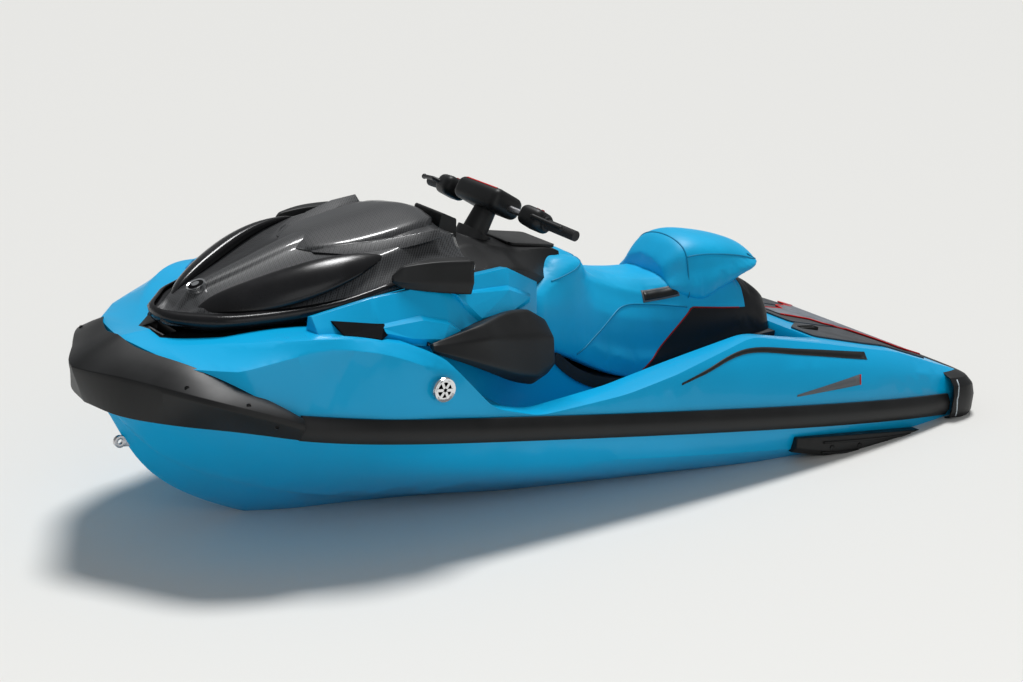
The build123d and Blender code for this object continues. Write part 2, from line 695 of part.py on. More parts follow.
def make_switch_pod():
    """Port switch housing beside the grip, round the bar."""
    x, y, z = pod_point()
    block = fillet(Box(78, 76, 56).edges(), 14)
    body = steer_frame() * Pos(x, y - 6, z) * Rot(0, 0, 10) * block
    return body - frame_rod(bar_point(0.0, 1), bar_point(1.0, 1), BAR_RADIUS + SEAT_GAP)


def make_lever(switch_pod):
    """Port hand lever ahead of the grip, rooted in the switch housing."""
    x, y, z = pod_point()
    tip_x, tip_y, tip_z = bar_point(0.94, 1)
    knee = (x + 46, y - 56, z)
    tip = (tip_x, tip_y - 46, tip_z)
    blade = frame_rod((x, y - 30, z), knee, 7) + frame_rod(knee, tip, 7)
    blade += steer_frame() * Pos(*knee) * Sphere(7)
    blade += steer_frame() * Pos(*tip) * Sphere(9)
    return largest(blade - switch_pod)


def make_gauge(console):
    """Hooded gauge ahead of the bar."""
    body = side_prism([(2048, 860), (2062, 972), (2120, 992), (2138, 860)], 78)
    body = fillet(body.edges().filter_by(Axis.Y), 8)
    screen = Plane(origin=(at(2056), 0, 950), x_dir=(0, 1, 0), z_dir=(-0.985, 0, 0.17))
    pocket = extrude(screen * RectangleRounded(124, 46, 10), amount=30, both=True)
    face = extrude(screen * Pos(0, 0, -8) * RectangleRounded(123, 45, 9), amount=-4)
    return largest(body - pocket - console), face


def make_mirror(cover):
    """Port mirror housing and its glass, which looks aft."""
    body = side_loft([
        (station, [(MIRROR_INNER, low), (outer - 12, low), (outer, (low + high) / 2), (outer - 18, high),
                   (MIRROR_INNER, high - 8)])
        for station, outer, low, high in MIRROR], ruled=True)
    body = largest(body - cover)
    station, outer, low, high = MIRROR[-1]
    glass_low = low + 38
    glass = Pos(at(station) - GLASS_THICKNESS / 2, (MIRROR_INNER + outer) / 2 - 2, (glass_low + high) / 2 - 6)
    glass *= Box(GLASS_THICKNESS, outer - MIRROR_INNER - 2 * MIRROR_RIM - 18, high - glass_low - 2 * MIRROR_RIM)
    return body, glass


def make_footwell_mats(deck):
    """Traction mats on both footwell floors."""
    sections = []
    for station, floor_y, mouth_y, floor in WELL[1:4]:
        inner = between(PEDESTAL, station, 1) + MAT_MARGIN
        sections.append((station, [
            (inner, floor - 3), (floor_y - MAT_MARGIN, floor - 3),
            (floor_y - MAT_MARGIN, floor + MAT_THICKNESS), (inner, floor + MAT_THICKNESS)]))
    mat = largest(side_loft(sections) - deck)
    return Compound([mat, other_side(mat)])


def make_rear_mats(deck):
    """Traction mats on the rear platform, laid on the sheer."""
    sheer = [(station, height + MAT_THICKNESS) for station, height, radius in SHEER]
    radii = [radius for station, height, radius in SHEER]
    slab = side_prism(sheer + [(BOW_TIP + 60, 0), (-60, 0)], 900, radii + [0, 0])
    outlines = [
        [(175, 150), (175, -150), (640, -150), (640, 150)],
        [(175, 168), (640, 168), (745, 268), (745, 388), (520, 400), (175, 372)],
    ]
    middle = largest(slab & plan_prism(outlines[0], 420, 760, 24))
    side = largest(slab & plan_prism(outlines[1], 420, 760, 24))
    return Compound([largest(piece - deck) for piece in (middle, side, other_side(side))])


def make_sponson(hull):
    """Port sponson on the hull's flank."""
    body = side_loft([
        (station, [(inner, low), (outer - 22, low), (outer, low + 22), (outer - 6, high), (inner, high)])
        for station, inner, outer, low, high in SPONSON])
    return largest(body - hull)


def pump_ring(front, rear, front_inner, rear_inner, wall):
    """A ring on the pump's axis between two stations, straight or tapered."""
    profile = [(at(front), front_inner), (at(front), front_inner + wall),
               (at(rear), rear_inner + wall), (at(rear), rear_inner)]
    face = make_face(Polyline(*profile, close=True))
    return Pos(0, 0, PUMP_Z) * revolve(Plane.XZ * face, axis=Axis.X)


def pump_disc(front, rear, radius):
    """A disc on the pump's axis between two stations."""
    return rod((at(rear), 0, PUMP_Z), (at(front), 0, PUMP_Z), radius)


def make_pump():
    """Pump housing with its flange, and the stator's hub and vanes."""
    rear = PUMP_FRONT - PUMP_LENGTH
    body = pump_ring(PUMP_FRONT, rear, PUMP_BORE, PUMP_BORE, PUMP_WALL)
    body += pump_ring(PUMP_FRONT, PUMP_FRONT - 12, PUMP_BORE, PUMP_BORE, PUMP_WALL + 22)
    hub = pump_disc(rear + 80, rear, HUB_RADIUS)
    vane = Pos(at(rear + 40), 0, PUMP_Z + (HUB_RADIUS + PUMP_BORE) / 2) * Box(70, 4, PUMP_BORE - HUB_RADIUS + 8)
    axis = Axis((0, 0, PUMP_Z), (1, 0, 0))
    vanes = [vane.rotate(axis, 360 / 7 * number) for number in range(7)]
    hub_hole = pump_disc(rear + 100, rear + 40, SHAFT_RADIUS + SEAT_GAP)
    return body + hub + vanes - hub_hole


def make_impeller():
    """Impeller with twisted blades on the drive shaft."""
    rear = PUMP_FRONT - PUMP_LENGTH + 80 + 6
    front = PUMP_FRONT - 14
    middle = (rear + front) / 2
    hub = pump_disc(front, rear, HUB_RADIUS)
    tip = PUMP_BORE - 1.5
    root_plane = Plane(origin=(at(middle), 0, PUMP_Z + HUB_RADIUS - 6), z_dir=(0, 0, 1))
    tip_plane = Plane(origin=(at(middle), 0, PUMP_Z + tip - 4), z_dir=(0, 0, 1))
    blade = loft([root_plane * Rot(0, 0, 32) * Rectangle(90, 7), tip_plane * Rot(0, 0, 58) * Rectangle(120, 3.5)])
    blade &= pump_disc(front, rear, tip)
    axis = Axis((0, 0, PUMP_Z), (1, 0, 0))
    blades = [blade.rotate(axis, 360 / BLADES * number) for number in range(BLADES)]
    shaft = pump_disc(ENGINE_REAR - SEAT_GAP, PUMP_FRONT - PUMP_LENGTH + 40 + SEAT_GAP, SHAFT_RADIUS)
    return hub + blades + shaft


def make_venturi():
    """Venturi with the pivot pins for trim ring and gate."""
    front = PUMP_FRONT - PUMP_LENGTH
    rear = front - VENTURI_LENGTH
    body = pump_ring(front, rear, PUMP_BORE, VENTURI_BORE, VENTURI_WALL)
    share = (TRIM_STATION - rear) / VENTURI_LENGTH
    bore_here = VENTURI_BORE + share * (PUMP_BORE - VENTURI_BORE)
    for side in (1, -1):
        body += rod((at(TRIM_STATION), side * (bore_here + VENTURI_WALL / 2), PUMP_Z),
                    (at(TRIM_STATION), side * (GATE_HALF_WIDTH + 4), PUMP_Z), PIVOT_RADIUS)
    return body


def make_trim_ring():
    """Trim ring with side arms on the venturi's pins and steering pins top and bottom."""
    ring = pump_ring(STEER_PIVOT + RING_HALF_LENGTH, STEER_PIVOT - RING_HALF_LENGTH,
                     RING_RADIUS, RING_RADIUS, RING_WALL)
    for side in (1, -1):
        arm = Pos(at((STEER_PIVOT + TRIM_STATION + 12) / 2), side * (RING_RADIUS + RING_WALL / 2), PUMP_Z)
        ring += arm * Box(TRIM_STATION + 12 - STEER_PIVOT, RING_WALL, 26)
        pin_low = NOZZLE_MOUTH + 2
        ring += rod((at(STEER_PIVOT), 0, PUMP_Z + side * pin_low),
                    (at(STEER_PIVOT), 0, PUMP_Z + side * (RING_RADIUS + 3)), PIVOT_RADIUS)
    hole = rod((at(TRIM_STATION), -200, PUMP_Z), (at(TRIM_STATION), 200, PUMP_Z), PIVOT_RADIUS + SEAT_GAP)
    return ring - hole


def make_nozzle():
    """Steering nozzle with lugs on the trim ring's pins."""
    body = pump_ring(NOZZLE_FRONT, NOZZLE_REAR, NOZZLE_MOUTH, NOZZLE_EXIT, NOZZLE_WALL)
    for side in (1, -1):
        body += rod((at(STEER_PIVOT), 0, PUMP_Z + side * (NOZZLE_MOUTH + 1)),
                    (at(STEER_PIVOT), 0, PUMP_Z + side * (NOZZLE_MOUTH + NOZZLE_WALL)), 14)
        body -= rod((at(STEER_PIVOT), 0, PUMP_Z + side * 40),
                    (at(STEER_PIVOT), 0, PUMP_Z + side * 110), PIVOT_RADIUS + SEAT_GAP)
    return body


def make_gate():
    """Reverse gate: a curved bucket between two arms, stowed above the nozzle."""
    outer = GATE_RADIUS + GATE_WALL
    pivot = (at(TRIM_STATION), PUMP_Z)

    def polar(radius, degrees):
        angle = math.radians(degrees)
        return (pivot[0] - radius * math.cos(angle), pivot[1] + radius * math.sin(angle))

    middle = (GATE_LOW + GATE_HIGH) / 2
    bucket = make_face(
        ThreePointArc(polar(GATE_RADIUS, GATE_LOW), polar(GATE_RADIUS, middle), polar(GATE_RADIUS, GATE_HIGH))
        + Line(polar(GATE_RADIUS, GATE_HIGH), polar(outer, GATE_HIGH))
        + ThreePointArc(polar(outer, GATE_HIGH), polar(outer, middle), polar(outer, GATE_LOW))
        + Line(polar(outer, GATE_LOW), polar(GATE_RADIUS, GATE_LOW)))
    body = extrude(Plane.XZ * bucket, amount=GATE_HALF_WIDTH, both=True)
    arm = make_face(
        Line(polar(16, GATE_LOW - 90), polar(outer, GATE_LOW))
        + ThreePointArc(polar(outer, GATE_LOW), polar(outer, middle), polar(outer, GATE_HIGH))
        + Line(polar(outer, GATE_HIGH), polar(16, GATE_HIGH + 90))
        + ThreePointArc(polar(16, GATE_HIGH + 90), polar(16, middle + 180), polar(16, GATE_LOW - 90)))
    arms = extrude(Plane.XZ * arm, amount=GATE_HALF_WIDTH, both=True)
    arms -= extrude(Plane.XZ * arm, amount=GATE_HALF_WIDTH - 8, both=True)
    hole = rod((at(TRIM_STATION), -200, PUMP_Z), (at(TRIM_STATION), 200, PUMP_Z), PIVOT_RADIUS + SEAT_GAP)
    return body + arms - hole


def make_ride_plate():
    """Ride plate that closes the tunnel's underside."""
    half = [(0, 44), (TUNNEL_HALF_WIDTH, 78), (TUNNEL_HALF_WIDTH, 86), (0, 52)]
    face = whole_face(100, half)
    plate = extrude(face, amount=PUMP_FRONT - 105, dir=(1, 0, 0))
    fin = Pos(at(320), 0, 44) * Box(300, 6, 24)
    return plate + [Pos(0, side * 90, 12) * fin for side in (1, -1)]


def make_intake_grate(hull):
    """Grate over the pump's intake in the keel."""
    rise = HULL_LINES[2][5] / HULL_LINES[2][4]
    slab = loft([whole_face(station, [(0, 3), (150, 3 + 150 * rise), (150, 15 + 150 * rise), (0, 15)])
                 for station in (620, 960)])
    slab &= tunnel_space()
    slab &= side_prism([(600, -100), (1000, -100), (1000, 200), (600, 200)], 300)
    slots = [Pos(at(775), y, 60) * Box(150, 15, 240) for y in (-60, -36, -12, 12, 36, 60)]
    return largest(slab - slots)


def make_engine():
    """Engine, a plain block with its cylinder head, on the bearers."""
    length = ENGINE_FRONT - ENGINE_REAR
    middle = at((ENGINE_FRONT + ENGINE_REAR) / 2)
    split = 300.0
    block = Pos(middle, 0, (ENGINE_BOTTOM + split) / 2) * Box(length, 2 * ENGINE_HALF_WIDTH, split - ENGINE_BOTTOM)
    head = Pos(middle, 0, (split + ENGINE_TOP) / 2) * Box(length - 90, 1.4 * ENGINE_HALF_WIDTH, ENGINE_TOP - split)
    return block + head


def make_eye(station, y, height, reach):
    """A drilled lug in the fore-and-aft plane, running forward or aft from its eye by a reach."""
    lug = Pos(at(station), y, height) * Rot(90, 0, 0) * extrude(Circle(EYE_RADIUS), amount=EYE_THICKNESS / 2, both=True)
    lug += Pos(at(station) + reach / 2, y, height) * Box(abs(reach), EYE_THICKNESS, 1.6 * EYE_RADIUS)
    hole = Pos(at(station), y, height) * Rot(90, 0, 0) * extrude(Circle(EYE_HOLE), amount=40, both=True)
    return lug - hole


def make_fuel_cap(deck):
    """Round filler cap on the port foredeck."""
    cap = rod((at(2400), 560, 572), (at(2400), 602, 572), 34)
    cap += rod((at(2400), 600, 572), (at(2400), 607, 572), 24)
    return largest(cap - deck)


def make_drain_plugs():
    """Drain plugs low on the transom."""
    return Compound([rod((at(TRANSOM - 10), side * 235, 172), (at(TRANSOM), side * 235, 172), 16)
                     for side in (1, -1)])


def pair(nodes, name, shape):
    """Add a port piece and its starboard twin."""
    nodes[name + "_port"] = shape
    nodes[name + "_starboard"] = other_side(shape)


def write(nodes):
    """One STEP file per node."""
    os.makedirs("parts", exist_ok=True)
    for name, shape in nodes.items():
        export_step(shape, f"parts/{name}.step")


def main():
    hull = make_hull()
    deck = make_deck()
    cover = make_side_cover(deck)
    covers = [cover, other_side(cover)]
    console = make_console(deck, covers)
    seat_base = make_seat_base(deck)
    saddle = make_saddle(seat_base, deck, console)
    handlebar = make_handlebar()
    column = make_column(handlebar)
    gauge, gauge_screen = make_gauge(console)
    mirror_housing, mirror_glass = make_mirror(cover)
    grip = make_grip()
    switch_pod = make_switch_pod()
    lever = make_lever(switch_pod)
    nodes = {
        "hull": hull,
        "deck": deck,
        "bow_bumper": make_bow_bumper(hull, deck),
        "stern_bumper": make_stern_bumper(hull, deck),
        "hood": make_hood(),
        "hood_hinge_pin": hinge_pin(),
        "storage_bin": make_storage_bin(deck),
        "console": console,
        "gauge_housing": gauge,
        "gauge_screen": gauge_screen,
        "glovebox_tray": make_tray(),
        "glovebox_lid": make_lid(),
        "seat_base": seat_base,
        "saddle": saddle,
        "bolster": make_bolster(saddle),
        "handlebar": handlebar,
        "steering_column": column,
        "bar_pad": make_bar_pad(handlebar, column),
        "grips": Compound([grip, other_side(grip)]),
        "switch_pods": Compound([switch_pod, other_side(switch_pod)]),
        "reverse_lever": lever,
        "throttle_lever": other_side(lever),
        "footwell_mats": make_footwell_mats(deck),
        "rear_deck_mats": make_rear_mats(deck),
        "fuel_cap": make_fuel_cap(deck),
        "engine": make_engine(),
        "pump_housing": make_pump(),
        "impeller": make_impeller(),
        "venturi": make_venturi(),
        "trim_ring": make_trim_ring(),
        "nozzle": make_nozzle(),
        "reverse_gate": make_gate(),
        "ride_plate": make_ride_plate(),
        "intake_grate": make_intake_grate(hull),
        "bow_eye": largest(make_eye(3134, 0, 270, -60) - hull),
        "drain_plugs": make_drain_plugs(),
    }
    pair(nodes, "rub_rail", make_rub_rail(hull, deck))
    pair(nodes, "side_cover", cover)
    pair(nodes, "side_pod", make_side_pod(deck, cover))
    pair(nodes, "mirror_housing", mirror_housing)
    pair(nodes, "mirror_glass", mirror_glass)
    pair(nodes, "sponson", make_sponson(hull))
    pair(nodes, "tow_eye", make_eye(TRANSOM - 26, 330, 300, 26))
    write(nodes)


main()
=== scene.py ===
"""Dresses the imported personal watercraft: finishes, soft saddle, hood, trim, stage and camera.

Metres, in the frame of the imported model: +X to the bow, +Y to port, +Z up, origin on the keel amidships.
A station is a distance forward of the stern, as in the part's source.
"""
import json
import math

import bmesh
import bpy
from bpy.props import FloatProperty, FloatVectorProperty, PointerProperty
from bpy.types import Operator, Panel, PropertyGroup
from mathutils import Matrix, Vector
from mathutils.bvhtree import BVHTree


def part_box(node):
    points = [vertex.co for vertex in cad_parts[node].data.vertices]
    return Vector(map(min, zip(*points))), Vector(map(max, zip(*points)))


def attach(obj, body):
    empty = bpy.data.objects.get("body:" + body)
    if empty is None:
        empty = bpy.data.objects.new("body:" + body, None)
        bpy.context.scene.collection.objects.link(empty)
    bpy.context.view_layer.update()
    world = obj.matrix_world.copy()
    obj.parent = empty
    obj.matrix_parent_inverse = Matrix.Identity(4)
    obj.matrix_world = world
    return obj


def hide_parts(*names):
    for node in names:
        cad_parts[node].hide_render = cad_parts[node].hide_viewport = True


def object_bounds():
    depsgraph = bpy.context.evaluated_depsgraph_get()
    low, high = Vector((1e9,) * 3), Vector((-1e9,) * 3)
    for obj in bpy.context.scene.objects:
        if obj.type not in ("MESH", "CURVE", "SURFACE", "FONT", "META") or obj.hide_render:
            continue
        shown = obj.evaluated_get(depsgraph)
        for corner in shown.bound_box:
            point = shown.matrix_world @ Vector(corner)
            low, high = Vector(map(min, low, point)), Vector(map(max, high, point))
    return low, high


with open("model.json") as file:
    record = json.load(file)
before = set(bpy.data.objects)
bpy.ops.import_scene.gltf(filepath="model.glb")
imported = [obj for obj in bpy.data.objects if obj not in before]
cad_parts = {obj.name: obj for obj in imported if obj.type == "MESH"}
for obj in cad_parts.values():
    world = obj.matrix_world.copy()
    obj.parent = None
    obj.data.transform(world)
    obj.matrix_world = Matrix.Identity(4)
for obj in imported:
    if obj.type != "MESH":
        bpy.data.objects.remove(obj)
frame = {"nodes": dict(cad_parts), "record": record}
CAD_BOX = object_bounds()

bl_info = {
    "name": "Watercraft dresser",
    "version": (1, 0, 0),
    "blender": (4, 5, 0),
    "location": "View3D > Sidebar > Watercraft",
    "description": "Finishes, soft parts and stage for a personal watercraft",
    "category": "Object",
}

STERN = CAD_BOX[0].x            # x of station zero
SIDES = (("port", 1), ("starboard", -1))


def station(metres):
    """Turn a station into the frame's x."""
    return STERN + metres


# Shader helpers

def new_finish(name, color, roughness, metallic=0.0, coat=0.0, specular=0.5):
    """A material with its plain values on the shader's own sockets."""
    material = bpy.data.materials.new(name)
    material.use_nodes = True
    shader = material.node_tree.nodes["Principled BSDF"]
    shader.inputs["Base Color"].default_value = (*color, 1.0)
    shader.inputs["Roughness"].default_value = roughness
    shader.inputs["Metallic"].default_value = metallic
    shader.inputs["Coat Weight"].default_value = coat
    shader.inputs["Coat Roughness"].default_value = 0.04
    shader.inputs["Specular IOR Level"].default_value = specular
    return material


def shader_of(material):
    return material.node_tree.nodes["Principled BSDF"]


def add_node(material, kind, **values):
    """A node with its input defaults and attributes set by name."""
    node = material.node_tree.nodes.new(kind)
    for name, value in values.items():
        if name in node.inputs:
            node.inputs[name].default_value = value
        else:
            setattr(node, name, value)
    return node


def link(material, source, target):
    material.node_tree.links.new(source, target)


def drive(material, socket, value):
    """Feed one of the shader's sockets from a node."""
    link(material, value, shader_of(material).inputs[socket])


def object_place(material, turn=(0, 0, 0)):
    """Object coordinates, turned."""
    place = add_node(material, "ShaderNodeTexCoord")
    mapping = add_node(material, "ShaderNodeMapping", Rotation=turn)
    link(material, place.outputs["Object"], mapping.inputs["Vector"])
    return mapping.outputs["Vector"]


def noise(material, place, scale, detail=3.0):
    node = add_node(material, "ShaderNodeTexNoise", Scale=scale, Detail=detail)
    link(material, place, node.inputs["Vector"])
    return node.outputs["Fac"]


def ramp(material, value, low, high, low_at=0.35, high_at=0.65):
    """A two-stop colour ramp."""
    node = add_node(material, "ShaderNodeValToRGB")
    node.color_ramp.elements[0].position = low_at
    node.color_ramp.elements[0].color = (*low, 1)
    node.color_ramp.elements[1].position = high_at
    node.color_ramp.elements[1].color = (*high, 1)
    link(material, value, node.inputs["Fac"])
    return node.outputs["Color"]


def span(material, value, low, high):
    """Map a 0 to 1 value to a range."""
    node = add_node(material, "ShaderNodeMapRange")
    node.inputs["To Min"].default_value = low
    node.inputs["To Max"].default_value = high
    link(material, value, node.inputs["Value"])
    return node.outputs["Result"]


def emboss(material, height, strength, distance):
    """Bump from a height value, in metres of depth."""
    node = add_node(material, "ShaderNodeBump", Strength=strength, Distance=distance)
    link(material, height, node.inputs["Height"])
    drive(material, "Normal", node.outputs["Normal"])


def tint(color, factor):
    return tuple(min(1.0, channel * factor) for channel in color)


# Finishes

def gelcoat(name, color):
    """Gloss moulded paint with a little orange peel and a slow drift of tone."""
    material = new_finish(name, color, 0.32, coat=0.22, specular=0.2)
    place = object_place(material)
    drift = ramp(material, noise(material, place, 1.6), tint(color, 0.94), tint(color, 1.05))
    drive(material, "Base Color", drift)
    peel = noise(material, place, 240.0, 2.0)
    emboss(material, peel, 0.04, 0.0004)
    return material


# Black patch on the deck around the hood, partly the black of the gasket under the hood's lip and partly
# painted
# shade of the gap there: its front station and length, then the half-breadth at its front and how fast that
# grows, for the nose and for the sides
GAP_SHADE_FRONT = 3.072
GAP_SHADE_LENGTH = 0.38
NOSE_HALF = 0.070
NOSE_FLARE = 1.04
SIDE_HALF = 0.152
SIDE_FLARE = 0.44


def deck_gelcoat_gap_shade(name, color):
    """The deck's paint, black under the hood and for a finger's breadth around it: the gasket's black there,
    with painted shade of the gap under the hood's lip.
    """
    material = gelcoat(name, color)
    painted = shader_of(material).inputs["Base Color"].links[0].from_socket
    parts = add_node(material, "ShaderNodeSeparateXYZ")
    link(material, object_place(material), parts.inputs[0])
    nose = compare(material, station(GAP_SHADE_FRONT), parts.outputs[0], "SUBTRACT")
    nose_edge = compare(material, compare(material, nose, NOSE_FLARE, "MULTIPLY"), NOSE_HALF, "ADD")
    side_edge = compare(material, compare(material, nose, SIDE_FLARE, "MULTIPLY"), SIDE_HALF, "ADD")
    edge = compare(material, nose_edge, side_edge, "MINIMUM")
    narrow = compare(material, compare(material, parts.outputs[1], 0.0, "ABSOLUTE"), edge)
    behind = compare(material, nose, 0.0, "GREATER_THAN")
    ahead = compare(material, nose, GAP_SHADE_LENGTH)
    # Mask of the black band: painted shade of the gap under the hood's lip, together with the gasket's black
    gap_shade_mask = compare(material, compare(material, ahead, behind, "MULTIPLY"), narrow, "MULTIPLY")
    mix = add_node(material, "ShaderNodeMix", data_type="RGBA")
    link(material, gap_shade_mask, mix.inputs["Factor"])
    link(material, painted, mix.inputs[6])
    mix.inputs[7].default_value = (*BLACK, 1)
    drive(material, "Base Color", mix.outputs[2])
    return material


def moulded_plastic(name, color, roughness=0.45):
    """Satin black moulding with a fine leather-like grain and scuffed tone."""
    material = new_finish(name, color, roughness, specular=0.35)
    place = object_place(material)
    scuff = noise(material, place, 9.0, 5.0)
    drive(material, "Base Color", ramp(material, scuff, tint(color, 0.8), tint(color, 1.35)))
    drive(material, "Roughness", span(material, scuff, roughness - 0.06, roughness + 0.1))
    grain = add_node(material, "ShaderNodeTexVoronoi", Scale=620.0)
    link(material, place, grain.inputs["Vector"])
    emboss(material, grain.outputs["Distance"], 0.18, 0.0004)
    return material


def cast_metal(name, color, roughness=0.38):
    """Cast or machined metal with a fine grain."""
    material = new_finish(name, color, roughness, metallic=1.0)
    place = object_place(material)
    grain = noise(material, place, 320.0, 6.0)
    drive(material, "Roughness", span(material, grain, roughness - 0.1, roughness + 0.12))
    emboss(material, grain, 0.15, 0.0003)
    return material


def rubber(name, color, specular=0.5):
    """Matt rubber with a pebbled face."""
    material = new_finish(name, color, 0.7, specular=specular)
    place = object_place(material)
    pebble = add_node(material, "ShaderNodeTexVoronoi", Scale=260.0)
    link(material, place, pebble.inputs["Vector"])
    tone = ramp(material, noise(material, place, 14.0), tint(color, 0.8), tint(color, 1.3))
    drive(material, "Base Color", tone)
    emboss(material, pebble.outputs["Distance"], 0.4, 0.0008)
    return material


def traction(name, color, scale=22.0):
    """Foam or rubber with even grooves."""
    material = rubber(name, color)
    place = object_place(material)
    bands = add_node(material, "ShaderNodeTexWave", Scale=scale, Distortion=0.0)
    bands.bands_direction = "Y"
    link(material, place, bands.inputs["Vector"])
    emboss(material, bands.outputs["Fac"], 0.8, 0.0025)
    return material


def vinyl(name, color):
    """Marine vinyl: soft sheen and fine grain."""
    material = new_finish(name, color, 0.45, specular=0.25)
    place = object_place(material)
    grain = add_node(material, "ShaderNodeTexVoronoi", Scale=420.0)
    link(material, place, grain.inputs["Vector"])
    tone = ramp(material, noise(material, place, 5.0), tint(color, 0.92), tint(color, 1.06))
    drive(material, "Base Color", tone)
    emboss(material, grain.outputs["Distance"], 0.12, 0.0005)
    return material


def glass_face(name, color):
    """Dark display glass."""
    material = new_finish(name, color, 0.06, coat=1.0)
    place = object_place(material)
    tone = ramp(material, noise(material, place, 30.0), tint(color, 0.7), tint(color, 1.4))
    drive(material, "Base Color", tone)
    return material


def carbon_twill(name):
    """Lacquered carbon cloth: a diagonal twill of dark tows under a clear coat."""
    material = new_finish(name, (0.012, 0.012, 0.013), 0.42, coat=0.5, specular=0.35)
    place = object_place(material, (0, 0, math.radians(45)))
    checks = add_node(material, "ShaderNodeTexChecker", Scale=150.0)
    link(material, place, checks.inputs["Vector"])
    bands = add_node(material, "ShaderNodeTexWave", Scale=48.0, Distortion=0.0)
    link(material, place, bands.inputs["Vector"])
    mixed = add_node(material, "ShaderNodeMath", operation="MULTIPLY_ADD")
    link(material, checks.outputs["Fac"], mixed.inputs[0])
    mixed.inputs[1].default_value = 0.7
    link(material, bands.outputs["Fac"], mixed.inputs[2])
    tone = ramp(material, mixed.outputs[0], (0.006, 0.006, 0.007), (0.055, 0.057, 0.06), 0.3, 1.4)
    drive(material, "Base Color", tone)
    emboss(material, mixed.outputs[0], 0.25, 0.0006)
    return material


def compare(material, left, right, operation="LESS_THAN"):
    """A math node on two sockets or numbers."""
    node = add_node(material, "ShaderNodeMath", operation=operation)
    for socket, value in zip(node.inputs, (left, right)):
        if isinstance(value, (int, float)):
            socket.default_value = value
        else:
            link(material, value, socket)
    return node.outputs[0]


# Black grip panel on the saddle: the slant of its front edge, that edge's place, its top and the
# tail's station
GRIP_SLANT = 1.045
GRIP_FRONT = 1.852
GRIP_TOP = 0.690
GRIP_TAIL = 0.90


def saddle_vinyl(name, color, grip):
    """Blue saddle vinyl with black grip panels low at the rear sides and behind the bolster."""
    material = new_finish(name, color, 0.45, specular=0.25)
    place = object_place(material)
    parts = add_node(material, "ShaderNodeSeparateXYZ")
    link(material, place, parts.inputs[0])
    x, z = parts.outputs[0], parts.outputs[2]
    slant = compare(material, compare(material, z, GRIP_SLANT, "MULTIPLY"), x, "ADD")
    behind = compare(material, slant, STERN + GRIP_FRONT)
    low = compare(material, z, GRIP_TOP)
    side = compare(material, behind, low, "MULTIPLY")
    tail = compare(material, x, station(GRIP_TAIL))
    mask = compare(material, side, tail, "MAXIMUM")
    grain = add_node(material, "ShaderNodeTexVoronoi", Scale=420.0)
    link(material, place, grain.inputs["Vector"])
    tone = ramp(material, noise(material, place, 5.0), tint(color, 0.92), tint(color, 1.06))
    mix = add_node(material, "ShaderNodeMix", data_type="RGBA")
    link(material, mask, mix.inputs["Factor"])
    link(material, tone, mix.inputs[6])
    mix.inputs[7].default_value = (*grip, 1)
    drive(material, "Base Color", mix.outputs[2])
    emboss(material, grain.outputs["Distance"], 0.12, 0.0005)
    return material


BLUE = (0.001, 0.43, 0.80)
SEAT_BLUE = (0.004, 0.45, 0.80)
BLACK = (0.007, 0.0075, 0.008)
FINISHES = {}


def finish(name):
    """Make each finish once."""
    makers = {
        "blue": lambda: gelcoat("azure_gelcoat", BLUE),
        "deck_blue": lambda: deck_gelcoat_gap_shade("deck_gelcoat_gap_shade", BLUE),
        "black": lambda: moulded_plastic("black_moulding", BLACK),
        "gloss_black": lambda: moulded_plastic("hood_black", (0.008, 0.008, 0.009), 0.22),
        # Near-black matt face for the slot, the roundel's groove and the cap's sunk face: painted shade of
        # their depth
        "recess": lambda: rubber("recess_painted_shade", (0.002, 0.002, 0.0025), 0.05),
        "rubber": lambda: rubber("black_rubber", (0.014, 0.014, 0.015)),
        "mat": lambda: traction("grey_traction_mat", (0.045, 0.05, 0.057)),
        "grip": lambda: traction("ribbed_grip", (0.012, 0.012, 0.013), 52.0),
        "vinyl": lambda: vinyl("blue_saddle_vinyl", SEAT_BLUE),
        "steel": lambda: cast_metal("stainless_steel", (0.6, 0.6, 0.62), 0.28),
        "alloy": lambda: cast_metal("cast_alloy", (0.5, 0.51, 0.53), 0.42),
        "chrome": lambda: cast_metal("bright_cap", (0.78, 0.79, 0.8), 0.16),
        "screen": lambda: glass_face("gauge_glass", (0.01, 0.012, 0.016)),
        "mirror": lambda: cast_metal("mirror_silver", (0.86, 0.88, 0.9), 0.05),
        "carbon": lambda: carbon_twill("carbon_twill"),
        "saddle": lambda: saddle_vinyl("saddle_vinyl", SEAT_BLUE, (0.012, 0.012, 0.013)),
        "stitch": lambda: vinyl("seam_welt", tint(SEAT_BLUE, 0.6)),
        "piping": lambda: vinyl("red_piping", (0.30, 0.008, 0.010)),
        "red": lambda: vinyl("red_line", (0.62, 0.012, 0.012)),
        "mark": lambda: vinyl("gauge_mark", (0.55, 0.62, 0.66)),
        "grey_patch": lambda: vinyl("grey_patch", (0.13, 0.14, 0.155)),
        "pale_mat": lambda: traction("pale_traction_mat", (0.16, 0.175, 0.20)),
    }
    if name not in FINISHES:
        FINISHES[name] = makers[name]()
    return FINISHES[name]


SLOT_FINISH = {
    "hull_blue": "blue", "black_plastic": "black", "black_gloss": "gloss_black", "seat_blue": "vinyl",
    "rubber_black": "rubber", "mat_grey": "mat", "steel": "steel", "cast_alloy": "alloy",
    "screen": "screen", "mirror": "mirror", "bright": "chrome",
}


# Nodes with broad flat facets, and the radius on their edges
SOFT_NODES = {"gauge_housing": 0.008, "steering_column": 0.004}
NODE_FINISH = {"grips": "grip", "deck": "deck_blue"}


def bevel_edges(piece, width, segments, angle=30.0):
    """Round a piece's edges over an angle on the fly."""
    edge = piece.modifiers.new("edge", "BEVEL")
    edge.width = width
    edge.segments = segments
    edge.limit_method = "ANGLE"
    edge.angle_limit = math.radians(angle)


